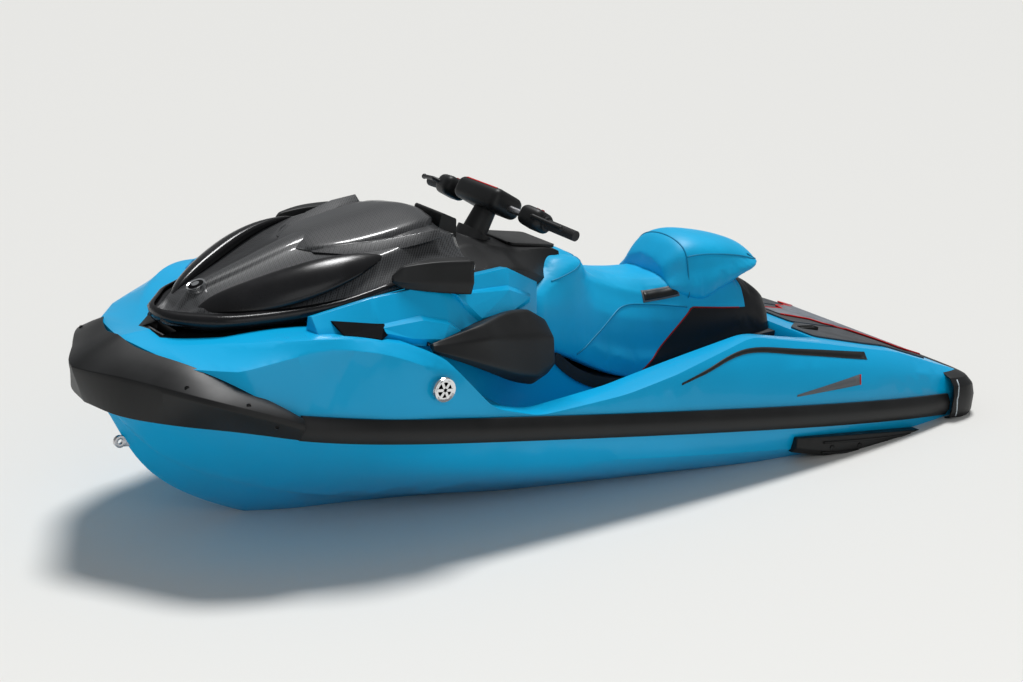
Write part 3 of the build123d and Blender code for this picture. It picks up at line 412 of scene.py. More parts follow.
def round_edges(piece, width, angle=35.0, segments=2, flat=False):
    """Weld a node's loose triangles on the fly and soften its hard edges."""
    weld = piece.modifiers.new("weld", "WELD")
    weld.merge_threshold = 0.00005
    if flat:
        facets = piece.modifiers.new("facets", "DECIMATE")
        facets.decimate_type = "DISSOLVE"
        facets.angle_limit = math.radians(4)
    bevel_edges(piece, width, segments, angle)
    if flat:
        shading = piece.modifiers.new("flat_shading", "WEIGHTED_NORMAL")
        shading.weight = 80


class CRAFT_OT_finishes(Operator):
    """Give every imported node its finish"""
    bl_idname = "craft.finishes"
    bl_label = "Node finishes"

    def execute(self, context):
        for row in frame["record"]["subparts"]:
            piece = frame["nodes"][row["node"]]
            piece.data.materials.clear()
            name = NODE_FINISH.get(row["node"], SLOT_FINISH[row["material_slot"]])
            piece.data.materials.append(finish(name))
            for face in piece.data.polygons:
                face.use_smooth = True
            radius = SOFT_NODES.get(row["node"])
            if radius:
                round_edges(piece, radius, 12.0, 4, flat=True)
            else:
                round_edges(piece, 0.002)
        return {"FINISHED"}


# Mesh helpers

def point(s, y, z):
    """A point of the frame from a station, a half-breadth and a height."""
    return Vector((station(s), y, z))


def new_piece(name, mesh, finishes, body="craft", smooth=True):
    """Turn a bmesh into a piece that rides on a body."""
    bmesh.ops.remove_doubles(mesh, verts=mesh.verts[:], dist=0.00001)
    bmesh.ops.recalc_face_normals(mesh, faces=mesh.faces[:])
    for face in mesh.faces:
        face.smooth = smooth
    data = bpy.data.meshes.new(name)
    mesh.to_mesh(data)
    mesh.free()
    for item in finishes:
        data.materials.append(finish(item))
    piece = bpy.data.objects.new(name, data)
    bpy.context.scene.collection.objects.link(piece)
    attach(piece, body)
    return piece


def mirrored(line):
    """A port line's mirror image, run backwards."""
    return [Vector((p.x, -p.y, p.z)) for p in reversed(line)]


def both_sides(half):
    """A port line from the centre out, with its mirror image before it."""
    return mirrored(half[1:]) + half


def row_edges(mesh, points, closed):
    """A row of points joined by edges."""
    corners = [mesh.verts.new(place) for place in points]
    pairs = list(zip(corners, corners[1:]))
    if closed:
        pairs.append((corners[-1], corners[0]))
    return [mesh.edges.new(pair) for pair in pairs]


def skin(mesh, rows, closed=False, caps=False):
    """Faces between each row of points and the next."""
    loops = [row_edges(mesh, row, closed) for row in rows]
    for before, after in zip(loops, loops[1:]):
        bmesh.ops.bridge_loops(mesh, edges=before + after)
    if caps:
        for loop in (loops[0], loops[-1]):
            bmesh.ops.edgeloop_fill(mesh, edges=loop)


def thicken(piece, depth, offset=-1.0):
    """Give a sheet a wall."""
    wall = piece.modifiers.new("wall", "SOLIDIFY")
    wall.thickness = depth
    wall.offset = offset


def soften(piece, levels):
    """Subdivide on the fly, the same in view and render."""
    smooth = piece.modifiers.new("smooth", "SUBSURF")
    smooth.levels = levels
    smooth.render_levels = levels


def curve_through(points, count):
    """Points along a smooth line through the given ones, count to each gap."""
    ends = [points[0] * 2 - points[1]] + list(points) + [points[-1] * 2 - points[-2]]
    line = []
    for a, b, c, d in zip(ends, ends[1:], ends[2:], ends[3:]):
        for step in range(count):
            t = step / count
            line.append(0.5 * (2 * b + (c - a) * t + (2 * a - 5 * b + 4 * c - d) * t * t
                               + (3 * b - a - 3 * c + d) * t ** 3))
    return line + [points[-1]]


def surface_of(*names):
    """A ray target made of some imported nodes."""
    mesh = bmesh.new()
    for name in names:
        node = frame["nodes"][name]
        copy = node.data.copy()
        copy.transform(node.matrix_world)
        mesh.from_mesh(copy)
        bpy.data.meshes.remove(copy)
    tree = BVHTree.FromBMesh(mesh)
    mesh.free()
    return tree


def drop(tree, place, way, lift=0.0):
    """Where a ray from a point meets a surface, raised by a lift against the ray."""
    way = Vector(way).normalized()
    hit = tree.ray_cast(place, way)[0]
    if hit is None:
        hit = tree.find_nearest(place)[0]
    return hit - way * lift


def top_of(tree, place, reach, lift):
    """The highest drop straight down within a reach of a point."""
    around = [Vector((reach * x, reach * y, 0)) for x, y in ((0, 0), (1, 0), (-1, 0), (0, 1), (0, -1))]
    height = max(drop(tree, place + step, (0, 0, -1), lift).z for step in around)
    return Vector((place.x, place.y, height))


def ribbon(name, tree, line, across, way, width, finish_name, lift=0.0008, depth=0.0016, body="craft"):
    """A flat band laid on a surface along a line."""
    across = Vector(across).normalized()
    start, end = width if isinstance(width, tuple) else (width, width)
    last = len(line) - 1
    rows = []
    for offset in (-0.5, 0.0, 0.5):
        rows.append([drop(tree, place + across * (offset * (start + (end - start) * k / last)), way, lift)
                     for k, place in enumerate(line)])
    mesh = bmesh.new()
    skin(mesh, rows)
    piece = new_piece(name, mesh, (finish_name,), body)
    thicken(piece, depth, 0.0)
    return piece


def plate(name, tree, outline, way, rise, border, finish_name):
    """A raised or sunk panel laid on a surface: its outline's points are dropped along a direction."""
    mesh = bmesh.new()
    way = Vector(way).normalized()
    face = mesh.faces.new([mesh.verts.new(drop(tree, place - way * 0.3, way, 0.001)) for place in outline])
    bmesh.ops.recalc_face_normals(mesh, faces=[face])
    face.normal_update()
    if face.normal.dot(way) > 0:
        face.normal_flip()
    bmesh.ops.inset_individual(mesh, faces=[face], thickness=border)
    bmesh.ops.translate(mesh, vec=-way * rise, verts=face.verts[:])
    bmesh.ops.triangulate(mesh, faces=mesh.faces[:])
    piece = new_piece(name, mesh, (finish_name,), smooth=False)
    thicken(piece, 0.004)
    return piece


def crisp(piece, angle, sharpness, levels):
    """Smooth a piece by subdivision, but hold its edges over an angle."""
    mesh = bmesh.new()
    mesh.from_mesh(piece.data)
    layer = mesh.edges.layers.float.new("crease_edge")
    for edge in mesh.edges:
        if len(edge.link_faces) == 2 and edge.calc_face_angle() > math.radians(angle):
            edge[layer] = sharpness
    mesh.to_mesh(piece.data)
    mesh.free()
    soften(piece, levels)


def rounded_box(mesh, place, turn, size, radius):
    """A box with rounded edges."""
    shape = Matrix.Translation(place) @ turn @ Matrix.Diagonal((*size, 1))
    made = bmesh.ops.create_cube(mesh, size=1.0, matrix=shape)
    edges = list({edge for corner in made["verts"] for edge in corner.link_edges})
    bmesh.ops.bevel(mesh, geom=edges, offset=radius, affect="EDGES", segments=5, profile=0.5, material=-1)


def tube(name, line, radius, finish_name, sides=8):
    """A round bead along a line."""
    mesh = bmesh.new()
    rows = []
    for i, place in enumerate(line):
        ahead = line[min(i + 1, len(line) - 1)] - line[max(i - 1, 0)]
        turn = ahead.to_track_quat("Z", "Y")
        rows.append([place + turn @ Vector((radius * math.cos(a), radius * math.sin(a), 0))
                     for a in (2 * math.pi * k / sides for k in range(sides))])
    skin(mesh, rows, closed=True, caps=True)
    return new_piece(name, mesh, (finish_name,))


def disc_matrix(place, facing):
    """A place turned so that its z looks along a direction."""
    return Matrix.Translation(place) @ Vector(facing).to_track_quat("Z", "Y").to_matrix().to_4x4()


def stud(mesh, place, facing, radius, height, socket=0.5):
    """A round-headed fixing with a round socket."""
    turn = disc_matrix(place, facing)
    made = bmesh.ops.create_cone(mesh, cap_ends=True, segments=18, radius1=radius, radius2=radius * 0.86,
                                 depth=height, matrix=turn)
    top = max((face for face in {f for v in made["verts"] for f in v.link_faces}),
              key=lambda face: face.calc_center_median().dot(Vector(facing)))
    bmesh.ops.inset_individual(mesh, faces=[top], thickness=radius * (1 - socket))
    bmesh.ops.translate(mesh, vec=-Vector(facing).normalized() * height * 0.6, verts=top.verts[:])


# Hood

# Columns: station, edge half-breadth and height, side crease half-breadth and height, crown height
HOOD_ROWS = [
    (3.055, 0.045, 0.642, 0.030, 0.650, 0.654),
    (3.020, 0.090, 0.649, 0.058, 0.660, 0.664),
    (2.985, 0.130, 0.656, 0.084, 0.674, 0.678),
    (2.962, 0.158, 0.661, 0.100, 0.692, 0.706),
    (2.940, 0.183, 0.666, 0.115, 0.708, 0.736),
    (2.900, 0.208, 0.674, 0.138, 0.726, 0.758),
    (2.850, 0.234, 0.686, 0.166, 0.746, 0.782),
    (2.785, 0.265, 0.702, 0.200, 0.774, 0.812),
    (2.700, 0.300, 0.726, 0.235, 0.814, 0.852),
    (2.610, 0.328, 0.752, 0.262, 0.852, 0.892),
    (2.520, 0.338, 0.786, 0.268, 0.882, 0.921),
    (2.430, 0.342, 0.818, 0.268, 0.905, 0.945),
    (2.330, 0.338, 0.838, 0.252, 0.940, 0.976),
    (2.230, 0.332, 0.852, 0.230, 0.965, 1.002),
    (2.150, 0.300, 0.860, 0.200, 0.945, 0.975),
]


# Columns: station, share from crown to crease, half-width, height
BULGE_ROWS = [
    (2.968, 0.86, 0.006, 0.003), (2.945, 0.92, 0.030, 0.018), (2.89, 0.98, 0.050, 0.030),
    (2.80, 1.00, 0.066, 0.038), (2.70, 1.00, 0.070, 0.036), (2.60, 1.00, 0.058, 0.026),
    (2.51, 1.00, 0.036, 0.014), (2.45, 1.00, 0.006, 0.003),
]
# Columns: station, share from crown to crease at the side, share of the full lift
HUMP_ROWS = [
    (2.640, 0.12, -0.4), (2.605, 0.34, 0.5), (2.56, 0.50, 1.0), (2.46, 0.60, 1.0), (2.34, 0.66, 1.0),
    (2.25, 0.68, 1.0), (2.20, 0.60, 1.0), (2.165, 0.44, 1.0),
]
# Columns: station, inner and outer share from crown to crease, lift of the ridge
COLLAR_ROWS = [
    (2.60, 0.36, 0.40, -0.004), (2.54, 0.47, 0.66, 0.012), (2.44, 0.62, 0.90, 0.020),
    (2.33, 0.85, 1.05, 0.020), (2.24, 1.0, 1.10, 0.020),
]


class HoodSizes(PropertyGroup):
    spine_width: FloatProperty(name="Spine width",
                               description="Half-width of the spine, as a share of the crease's",
                               default=0.15, subtype="FACTOR")
    spine_height: FloatProperty(name="Spine height",
                                description="Rise of the spine over the panels", default=0.012,
                                unit="LENGTH")
    valley: FloatProperty(name="Valley", description="Depth of the hollows beside the spine", default=0.013,
                          unit="LENGTH")
    wall: FloatProperty(name="Wall", description="Thickness of the shell", default=0.005, unit="LENGTH")
    roundel: FloatProperty(name="Roundel",
                           description="Radius of the plain roundel on the nose", default=0.032,
                           unit="LENGTH")


def hood_place(s, t, lift=0.0):
    """A point on the hood's port top panel, t from crown (0) to side crease (1), raised by a lift."""
    for ahead, behind in zip(HOOD_ROWS, HOOD_ROWS[1:]):
        if behind[0] <= s <= ahead[0]:
            share = (ahead[0] - s) / (ahead[0] - behind[0])
            row = [a + share * (b - a) for a, b in zip(ahead, behind)]
            break
    crease_y, crease_z, crown = row[3], row[4], row[5]
    slope = Vector((0, crease_y, crease_z - crown))
    up = Vector((0, -slope.z, slope.y)).normalized()
    return point(s, 0, crown) + slope * t + up * lift, slope.normalized(), up


def hood_section(row, sizes):
    """Port half of the hood's skin at a row, from the centre out and down."""
    s, edge_y, edge_z, crease_y, crease_z, crown = row
    spine = sizes.spine_width * crease_y
    rise = sizes.spine_height * min(1.0, max(0.0, (3.0 - s) / 0.08))
    fall = crease_z - crown
    valley = sizes.valley * min(1.0, max(0.0, (2.96 - s) / 0.2))
    scoop = 0.008 * min(1.0, max(0.0, (s - 2.96) / 0.03))
    half = [
        (0, crown + rise * 0.5 - scoop),
        (spine, crown + fall * sizes.spine_width + rise * 0.4 - scoop),
        (spine * 1.15, crown + fall * sizes.spine_width - rise * 0.7 - scoop),
        (crease_y * 0.45, crown + fall * 0.45 - valley - scoop * 0.5),
        (crease_y * 0.74, crown + fall * 0.74 - valley * 0.7),
        (crease_y * 0.97, crease_z + 0.004 + scoop),
        (crease_y + 0.004, crease_z - 0.008 + scoop),
        (crease_y + (edge_y - crease_y) * 0.35, crease_z + (edge_z - crease_z) * 0.50),
        (edge_y - 0.004, edge_z + 0.016),
        (edge_y, edge_z),
    ]
    return both_sides([point(s, y, z) for y, z in half])


def lens(mesh, rows, side):
    """A pointed bulge on the hood. Rows: station, share from crown to crease, half-width, height."""
    rings = []
    for s, t, half_width, height in rows:
        middle, slope, up = hood_place(s, t, 0.0)
        slope = (slope + Vector((0, 0.25, -0.75))).normalized()
        up = Vector((0, -slope.z, slope.y))
        ring = []
        for k in range(14):
            angle = 2 * math.pi * k / 14
            place = middle + slope * (half_width * math.cos(angle)) + up * (height * math.sin(angle))
            ring.append(Vector((place.x, place.y * side, place.z)))
        rings.append(ring)
    skin(mesh, rings, closed=True, caps=True)


class CRAFT_OT_hood(Operator):
    """Build the sculpted hood: shell, bulges, hump, collars, lip and roundel"""
    bl_idname = "craft.hood"
    bl_label = "Hood"

    def execute(self, context):
        sizes = context.scene.craft_hood
        mesh = bmesh.new()
        skin(mesh, [hood_section(row, sizes) for row in HOOD_ROWS])
        shell = new_piece("hood_shell", mesh, ("carbon",), "hood")
        soften(shell, 2)
        thicken(shell, sizes.wall)
        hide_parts("hood")
        mesh = bmesh.new()
        for _, side in SIDES:
            lens(mesh, BULGE_ROWS, side)
        bulges = new_piece("hood_bulges", mesh, ("gloss_black",), "hood")
        soften(bulges, 2)
        mesh = bmesh.new()
        rows = []
        for s, t, swell in HUMP_ROWS:
            half = []
            for share, lift in ((0.0, 0.016), (0.5, 0.013), (0.90, 0.014), (1.0, 0.010), (1.10, -0.012)):
                half.append(hood_place(s, t * share, lift * swell)[0])
            rows.append(both_sides(half))
        skin(mesh, rows)
        hump = new_piece("hood_hump", mesh, ("carbon",), "hood")
        soften(hump, 1)
        thicken(hump, 0.004)
        mesh = bmesh.new()
        for _, side in SIDES:
            outer, ridge, inner = [], [], []
            for s, low, high, rise in COLLAR_ROWS:
                for row, share, lift in ((inner, low - 0.06, 0.0), (ridge, (low + high) / 2, rise),
                                         (outer, high + 0.04, 0.0)):
                    place = hood_place(s, share, lift)[0]
                    row.append(Vector((place.x, place.y * side, place.z)))
            skin(mesh, [inner, ridge, outer])
        collar = new_piece("hood_collars", mesh, ("carbon",), "hood")
        thicken(collar, 0.004)
        bevel_edges(collar, 0.004, 3)
        self.lip()
        self.roundel(sizes.roundel)
        return {"FINISHED"}

    def lip(self):
        """A blade along the hood's side edges and across its nose."""
        upper, outer, lower = [], [], []
        for row in HOOD_ROWS[:12]:
            s, edge_y, edge_z = row[:3]
            flare = 0.006 + 0.022 * max(0.0, (s - 2.5) / 0.555)
            upper.append(point(s, edge_y - 0.012, edge_z + 0.020 + 0.8 * flare))
            outer.append(point(s + flare * 0.35, edge_y + flare, edge_z + 0.012 + 0.5 * flare))
            skirt = 0.014 * min(1.0, (HOOD_ROWS[0][0] - s) / 0.07)
            lower.append(point(s, edge_y - 0.004, edge_z - skirt))
        mesh = bmesh.new()
        skin(mesh, [mirrored(line) + line for line in (upper, outer, lower)])
        piece = new_piece("hood_lip", mesh, ("gloss_black",), "hood")
        soften(piece, 1)
        thicken(piece, 0.004)

    def roundel(self, radius):
        """A plain bright ring on the nose."""
        facing = Vector((0.5, 0, 0.866))
        turn = disc_matrix(point(2.930, 0, 0.752) - facing * 0.010, facing)
        mesh = bmesh.new()
        bmesh.ops.create_cone(mesh, cap_ends=True, segments=40, radius1=radius, radius2=radius * 0.94,
                              depth=0.028, matrix=turn)
        top = max(mesh.faces, key=lambda face: face.calc_center_median().dot(facing))
        bmesh.ops.inset_individual(mesh, faces=[top], thickness=radius * 0.16)
        bmesh.ops.translate(mesh, vec=-facing * 0.003, verts=top.verts[:])
        # The sunk ring takes the near-black finish: painted shade in the groove
        top.material_index = 1
        bmesh.ops.inset_individual(mesh, faces=[top], thickness=radius * 0.40)
        bmesh.ops.translate(mesh, vec=facing * 0.004, verts=top.verts[:])
        top.material_index = 0
        piece = new_piece("nose_roundel", mesh, ("chrome", "recess"), "hood", smooth=False)
        bevel_edges(piece, 0.001, 2)


# Saddle and bolster

class PadSizes(PropertyGroup):
    voxel: FloatProperty(name="Voxel",
                         description="Size of the remeshed cover", default=0.0075, unit="LENGTH")
    pressure: FloatProperty(name="Pressure", description="Push of the foam on the cover", default=4.0)
    cap: FloatProperty(name="Cap", description="Most that the cover may move", default=0.006, unit="LENGTH")
    shrink: FloatProperty(name="Shrink",
                          description="How much smaller the pad starts", default=0.004, unit="LENGTH")
    bead: FloatProperty(name="Bead", description="Radius of the piping", default=0.0032, unit="LENGTH")


def swollen(name, mesh, sizes):
    """A pad's mesh, remeshed and swollen by cloth pressure."""
    piece = new_piece(name, mesh, (), "craft")
    remesh = piece.modifiers.new("remesh", "REMESH")
    remesh.mode = "VOXEL"
    remesh.voxel_size = sizes.voxel
    settle = piece.modifiers.new("settle", "SMOOTH")
    settle.factor = 0.5
    settle.iterations = 16
    bake(piece)
    rest = [corner.co.copy() for corner in piece.data.vertices]
    cloth = piece.modifiers.new("cloth", "CLOTH")
    cloth.settings.use_pressure = True
    cloth.settings.uniform_pressure_force = sizes.pressure
    cloth.settings.effector_weights.gravity = 0.0
    cloth.settings.tension_stiffness = 12
    cloth.settings.compression_stiffness = 12
    cloth.collision_settings.use_collision = False
    for step in range(1, 21):
        bpy.context.scene.frame_set(step)
    bake(piece)
    bpy.context.scene.frame_set(1)
    for corner, start in zip(piece.data.vertices, rest):
        move = corner.co - start
        if move.length > sizes.cap:
            corner.co = start + move.normalized() * sizes.cap
    for face in piece.data.polygons:
        face.use_smooth = True
    soften(piece, 1)
    return piece


def bake(piece):
    """Apply every modifier on a piece."""
    graph = bpy.context.evaluated_depsgraph_get()
    shaped = bpy.data.meshes.new_from_object(piece.evaluated_get(graph))
    piece.modifiers.clear()
    old = piece.data
    piece.data = shaped
    bpy.data.meshes.remove(old)


def tree_of(piece):
    """A ray target from a built piece."""
    graph = bpy.context.evaluated_depsgraph_get()
    return BVHTree.FromObject(piece, graph)


# Columns: station, skirt half-breadth and height, waist, shoulder, crown height
SADDLE_ROWS = [
    (1.860, 0.292, 0.605, 0.280, 0.700, 0.255, 0.760, 0.768),
    (1.800, 0.280, 0.590, 0.262, 0.715, 0.228, 0.796, 0.808),
    (1.755, 0.272, 0.575, 0.250, 0.720, 0.212, 0.816, 0.834),
    (1.725, 0.267, 0.565, 0.243, 0.722, 0.205, 0.828, 0.858),
    (1.690, 0.262, 0.552, 0.234, 0.722, 0.198, 0.838, 0.866),
    (1.667, 0.259, 0.545, 0.229, 0.721, 0.192, 0.844, 0.869),
    (1.652, 0.257, 0.540, 0.224, 0.720, 0.187, 0.848, 0.870),
    (1.605, 0.253, 0.522, 0.208, 0.710, 0.164, 0.846, 0.862),
    (1.560, 0.250, 0.506, 0.198, 0.695, 0.130, 0.816, 0.830),
    (1.500, 0.245, 0.485, 0.192, 0.677, 0.118, 0.782, 0.797),
    (1.380, 0.236, 0.456, 0.190, 0.655, 0.130, 0.760, 0.776),
    (1.220, 0.226, 0.470, 0.192, 0.645, 0.142, 0.762, 0.776),
    (1.080, 0.222, 0.512, 0.200, 0.665, 0.150, 0.785, 0.800),
    (0.940, 0.220, 0.550, 0.200, 0.680, 0.150, 0.775, 0.790),
    (0.840, 0.212, 0.568, 0.188, 0.672, 0.142, 0.748, 0.760),
    (0.762, 0.200, 0.585, 0.172, 0.660, 0.130, 0.715, 0.725),
]
# Well for the glove box, ahead of a station: its floor and its half-breadth
WELL_REAR = 1.660
WELL_FLOOR = 0.768
WELL_HALF = 0.112
# Seam around the collar, port half from its front end. Columns: station, half-breadth, height
COLLAR_SEAM = [(1.760, 0.230, 0.800), (1.700, 0.208, 0.815), (1.650, 0.196, 0.832), (1.612, 0.168, 0.848),
               (1.592, 0.120, 0.860), (1.584, 0.060, 0.866), (1.582, 0.0, 0.868)]


def saddle_ring(row, inset):
    """The saddle's outline at a row, all round, drawn in by an inset."""
    s, skirt_y, skirt_z, waist_y, waist_z, shoulder_y, shoulder_z, crown = row
    sunk = s > WELL_REAR
    ledge = WELL_HALF if sunk else shoulder_y * 0.5
    middle = WELL_FLOOR if sunk else crown
    half = [(0, skirt_z + inset), (skirt_y * 0.7, skirt_z + inset), (skirt_y - inset, skirt_z + inset),
            ((skirt_y + waist_y) / 2 - inset, (skirt_z + waist_z) / 2), (waist_y - inset, waist_z),
            (shoulder_y * 0.6 + waist_y * 0.4 - inset, shoulder_z * 0.6 + waist_z * 0.4),
            (shoulder_y - inset, shoulder_z - inset), (ledge, crown - inset * 1.3),
            (ledge * 0.94, middle - inset), (0, middle - inset)]
    port = [point(s, y, z) for y, z in half]
    return port + mirrored(port[1:-1])


class CRAFT_OT_saddle(Operator):
    """Swell the saddle's cover, colour its panels and lay its piping"""
    bl_idname = "craft.saddle"
    bl_label = "Saddle"

    def execute(self, context):
        sizes = context.scene.craft_pad
        mesh = bmesh.new()
        skin(mesh, [saddle_ring(row, sizes.shrink) for row in SADDLE_ROWS], closed=True, caps=True)
        bmesh.ops.subdivide_edges(mesh, edges=mesh.edges[:], cuts=1, use_grid_fill=True, smooth=0.5)
        saddle = swollen("saddle_cover", mesh, sizes)
        saddle.data.materials.append(finish("saddle"))
        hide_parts("saddle")
        tree = tree_of(saddle)
        seams = {
            "seam_panel": ((1.352, 0.480), (1.243, 0.582), (1.153, 0.668), (1.131, 0.689), (1.100, 0.691),
                           (1.020, 0.690), (0.930, 0.689)),
            "seam_front": ((1.640, 0.560), (1.533, 0.625), (1.425, 0.694), (1.300, 0.700), (1.150, 0.692)),
        }
        colors = {"seam_panel": "piping", "seam_front": "stitch"}
        for name, line in seams.items():
            for side_name, side in SIDES:
                path = curve_through([point(s, side * 0.5, z) for s, z in line], 10)
                laid = [drop(tree, place, (0, -side, 0), 0.0005) for place in path]
                tube(f"{name}_{side_name}", laid, sizes.bead * 0.9, colors[name])
        for side_name, side in SIDES:
            for part, gap, width, lift in (("rim", 0.0, 0.042, 0.0010), ("plate", 0.006, 0.031, 0.0025)):
                line = [point(1.325 - gap - (0.15 - 2 * gap) * k / 10, side * 0.46, 1.030 + 0.020 * k / 10)
                        for k in range(11)]
                ribbon(f"seat_{part}_{side_name}", tree, line, (0, -side, 1), (0, -side, -1), width,
                       "grey_patch" if part == "rim" else "black", lift, 0.003)
        half = [point(*place) for place in COLLAR_SEAM]
        around = curve_through(half + mirrored(half[:-1]), 8)
        laid = []
        for place in around:
            axis = Vector((place.x, 0, 0.76))
            laid.append(drop(tree, axis + (place - axis) * 1.5, axis - place, 0.0005))
        tube("seam_collar", laid, sizes.bead * 0.8, "stitch")
        return {"FINISHED"}


# Columns: station, leg half-breadth and height, shoulder half-breadth and height, crown and belly height
BOLSTER_ROWS = [
    (1.212, 0.158, 0.738, 0.104, 0.790, 0.808, 0.752),
    (1.180, 0.176, 0.724, 0.116, 0.832, 0.858, 0.744),
    (1.140, 0.188, 0.712, 0.128, 0.860, 0.896, 0.738),
    (1.085, 0.194, 0.704, 0.138, 0.872, 0.911, 0.742),
    (1.000, 0.190, 0.742, 0.138, 0.872, 0.908, 0.772),
    (0.900, 0.176, 0.788, 0.128, 0.862, 0.894, 0.806),
    (0.825, 0.150, 0.812, 0.110, 0.846, 0.872, 0.824),
    (0.798, 0.115, 0.828, 0.085, 0.842, 0.858, 0.832),
]


def bolster_ring(row, grow=0.0):
    """The bolster's outline at a row, all round."""
    s, leg_y, leg_z, shoulder_y, shoulder_z, crown, belly = row
    half = [(0, belly), (leg_y * 0.55, belly - 0.3 * (belly - leg_z)), (leg_y * 0.94, leg_z),
            (leg_y, leg_z + 0.014),
            (leg_y + (shoulder_y - leg_y) * 0.55, leg_z + (shoulder_z - leg_z) * 0.6),
            (shoulder_y, shoulder_z), (shoulder_y * 0.62, crown - 0.010), (0, crown)]
    ring = half + [(-y, z) for y, z in reversed(half[1:-1])]
    middle = (belly + crown) / 2
    return [point(s, y * (1 + grow), middle + (z - middle) * (1 + grow)) for y, z in ring]


class CRAFT_OT_bolster(Operator):
    """Swell the bolster's cover and lay its seams"""
    bl_idname = "craft.bolster"
    bl_label = "Bolster"

    def execute(self, context):
        sizes = context.scene.craft_pad
        mesh = bmesh.new()
        skin(mesh, [bolster_ring(row, -0.03) for row in BOLSTER_ROWS], closed=True, caps=True)
        bmesh.ops.subdivide_edges(mesh, edges=mesh.edges[:], cuts=2, use_grid_fill=True, smooth=0.6)
        bolster = swollen("bolster_cover", mesh, sizes)
        bolster.data.materials.append(finish("vinyl"))
        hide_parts("bolster")
        tree = tree_of(bolster)
        for side_name, side in SIDES:
            line = [point(row[0], side * (row[3] + 0.012), row[4]) for row in BOLSTER_ROWS[2:]]
            laid = []
            for place in curve_through(line, 6):
                start = place + Vector((0, side * 0.1, 0.12))
                laid.append(drop(tree, start, (0, -side * 0.64, -0.77), 0.0004))
            tube(f"bolster_seam_{side_name}", laid, sizes.bead * 0.8, "stitch")
        ring = bolster_ring(BOLSTER_ROWS[2])[2:-1]
        middle = point(BOLSTER_ROWS[2][0], 0, 0.79)
        laid = [drop(tree, middle + (place - middle) * 1.5, middle - place, 0.0004) for place in ring]
        tube("bolster_front_seam", curve_through(laid, 5), sizes.bead * 0.8, "stitch")
        return {"FINISHED"}


# Bumpers

# Rings from the nose to the tail, lower edge to deck. Columns: station, half-breadth, height
BOW_RINGS = [
    ((3.264, 0.0, 0.398), (3.229, 0.165, 0.400), (3.119, 0.292, 0.403), (2.970, 0.402, 0.408),
     (2.833, 0.524, 0.413)),
    ((3.312, 0.0, 0.494), (3.291, 0.070, 0.498), (3.220, 0.200, 0.504), (3.090, 0.420, 0.502),
     (2.908, 0.526, 0.470), (2.833, 0.549, 0.452)),
    ((3.318, 0.0, 0.510), (3.297, 0.064, 0.514), (3.222, 0.194, 0.520), (3.090, 0.415, 0.518),
     (2.905, 0.526, 0.486), (2.833, 0.548, 0.468)),
    ((3.175, 0.0, 0.606), (3.158, 0.110, 0.590), (3.070, 0.300, 0.580), (2.912, 0.470, 0.522),
     (2.833, 0.530, 0.484)),
]
# Station where the stern bumper ends, and the length over which its corner turns
STERN_REACH = 0.182
STERN_CORNER = 0.06
# Profile of the stern bumper. Columns: inset from the outer face, height
STERN_PROFILE = [(0.030, 0.352), (0.008, 0.360), (0.0, 0.385), (0.0, 0.440), (0.010, 0.474), (0.034, 0.497),
                 (0.070, 0.506)]
# Plan of its outer face, port half. Columns: station, half-breadth
STERN_PLAN = [(0.002, 0.0), (0.002, 0.200), (0.010, 0.380), (0.040, 0.492), (0.098, 0.534), (0.182, 0.542)]


def even_steps(line, count):
    """A line's points, count of them, evenly spaced along it."""
    lengths = [0.0]
    for a, b in zip(line, line[1:]):
        lengths.append(lengths[-1] + (b - a).length)
    steps = []
    for k in range(count):
        goal = lengths[-1] * k / (count - 1)
        i = next(j for j in range(1, len(line)) if lengths[j] >= goal - 1e-9)
        share = (goal - lengths[i - 1]) / (lengths[i] - lengths[i - 1])
        steps.append(line[i - 1].lerp(line[i], share))
    return steps


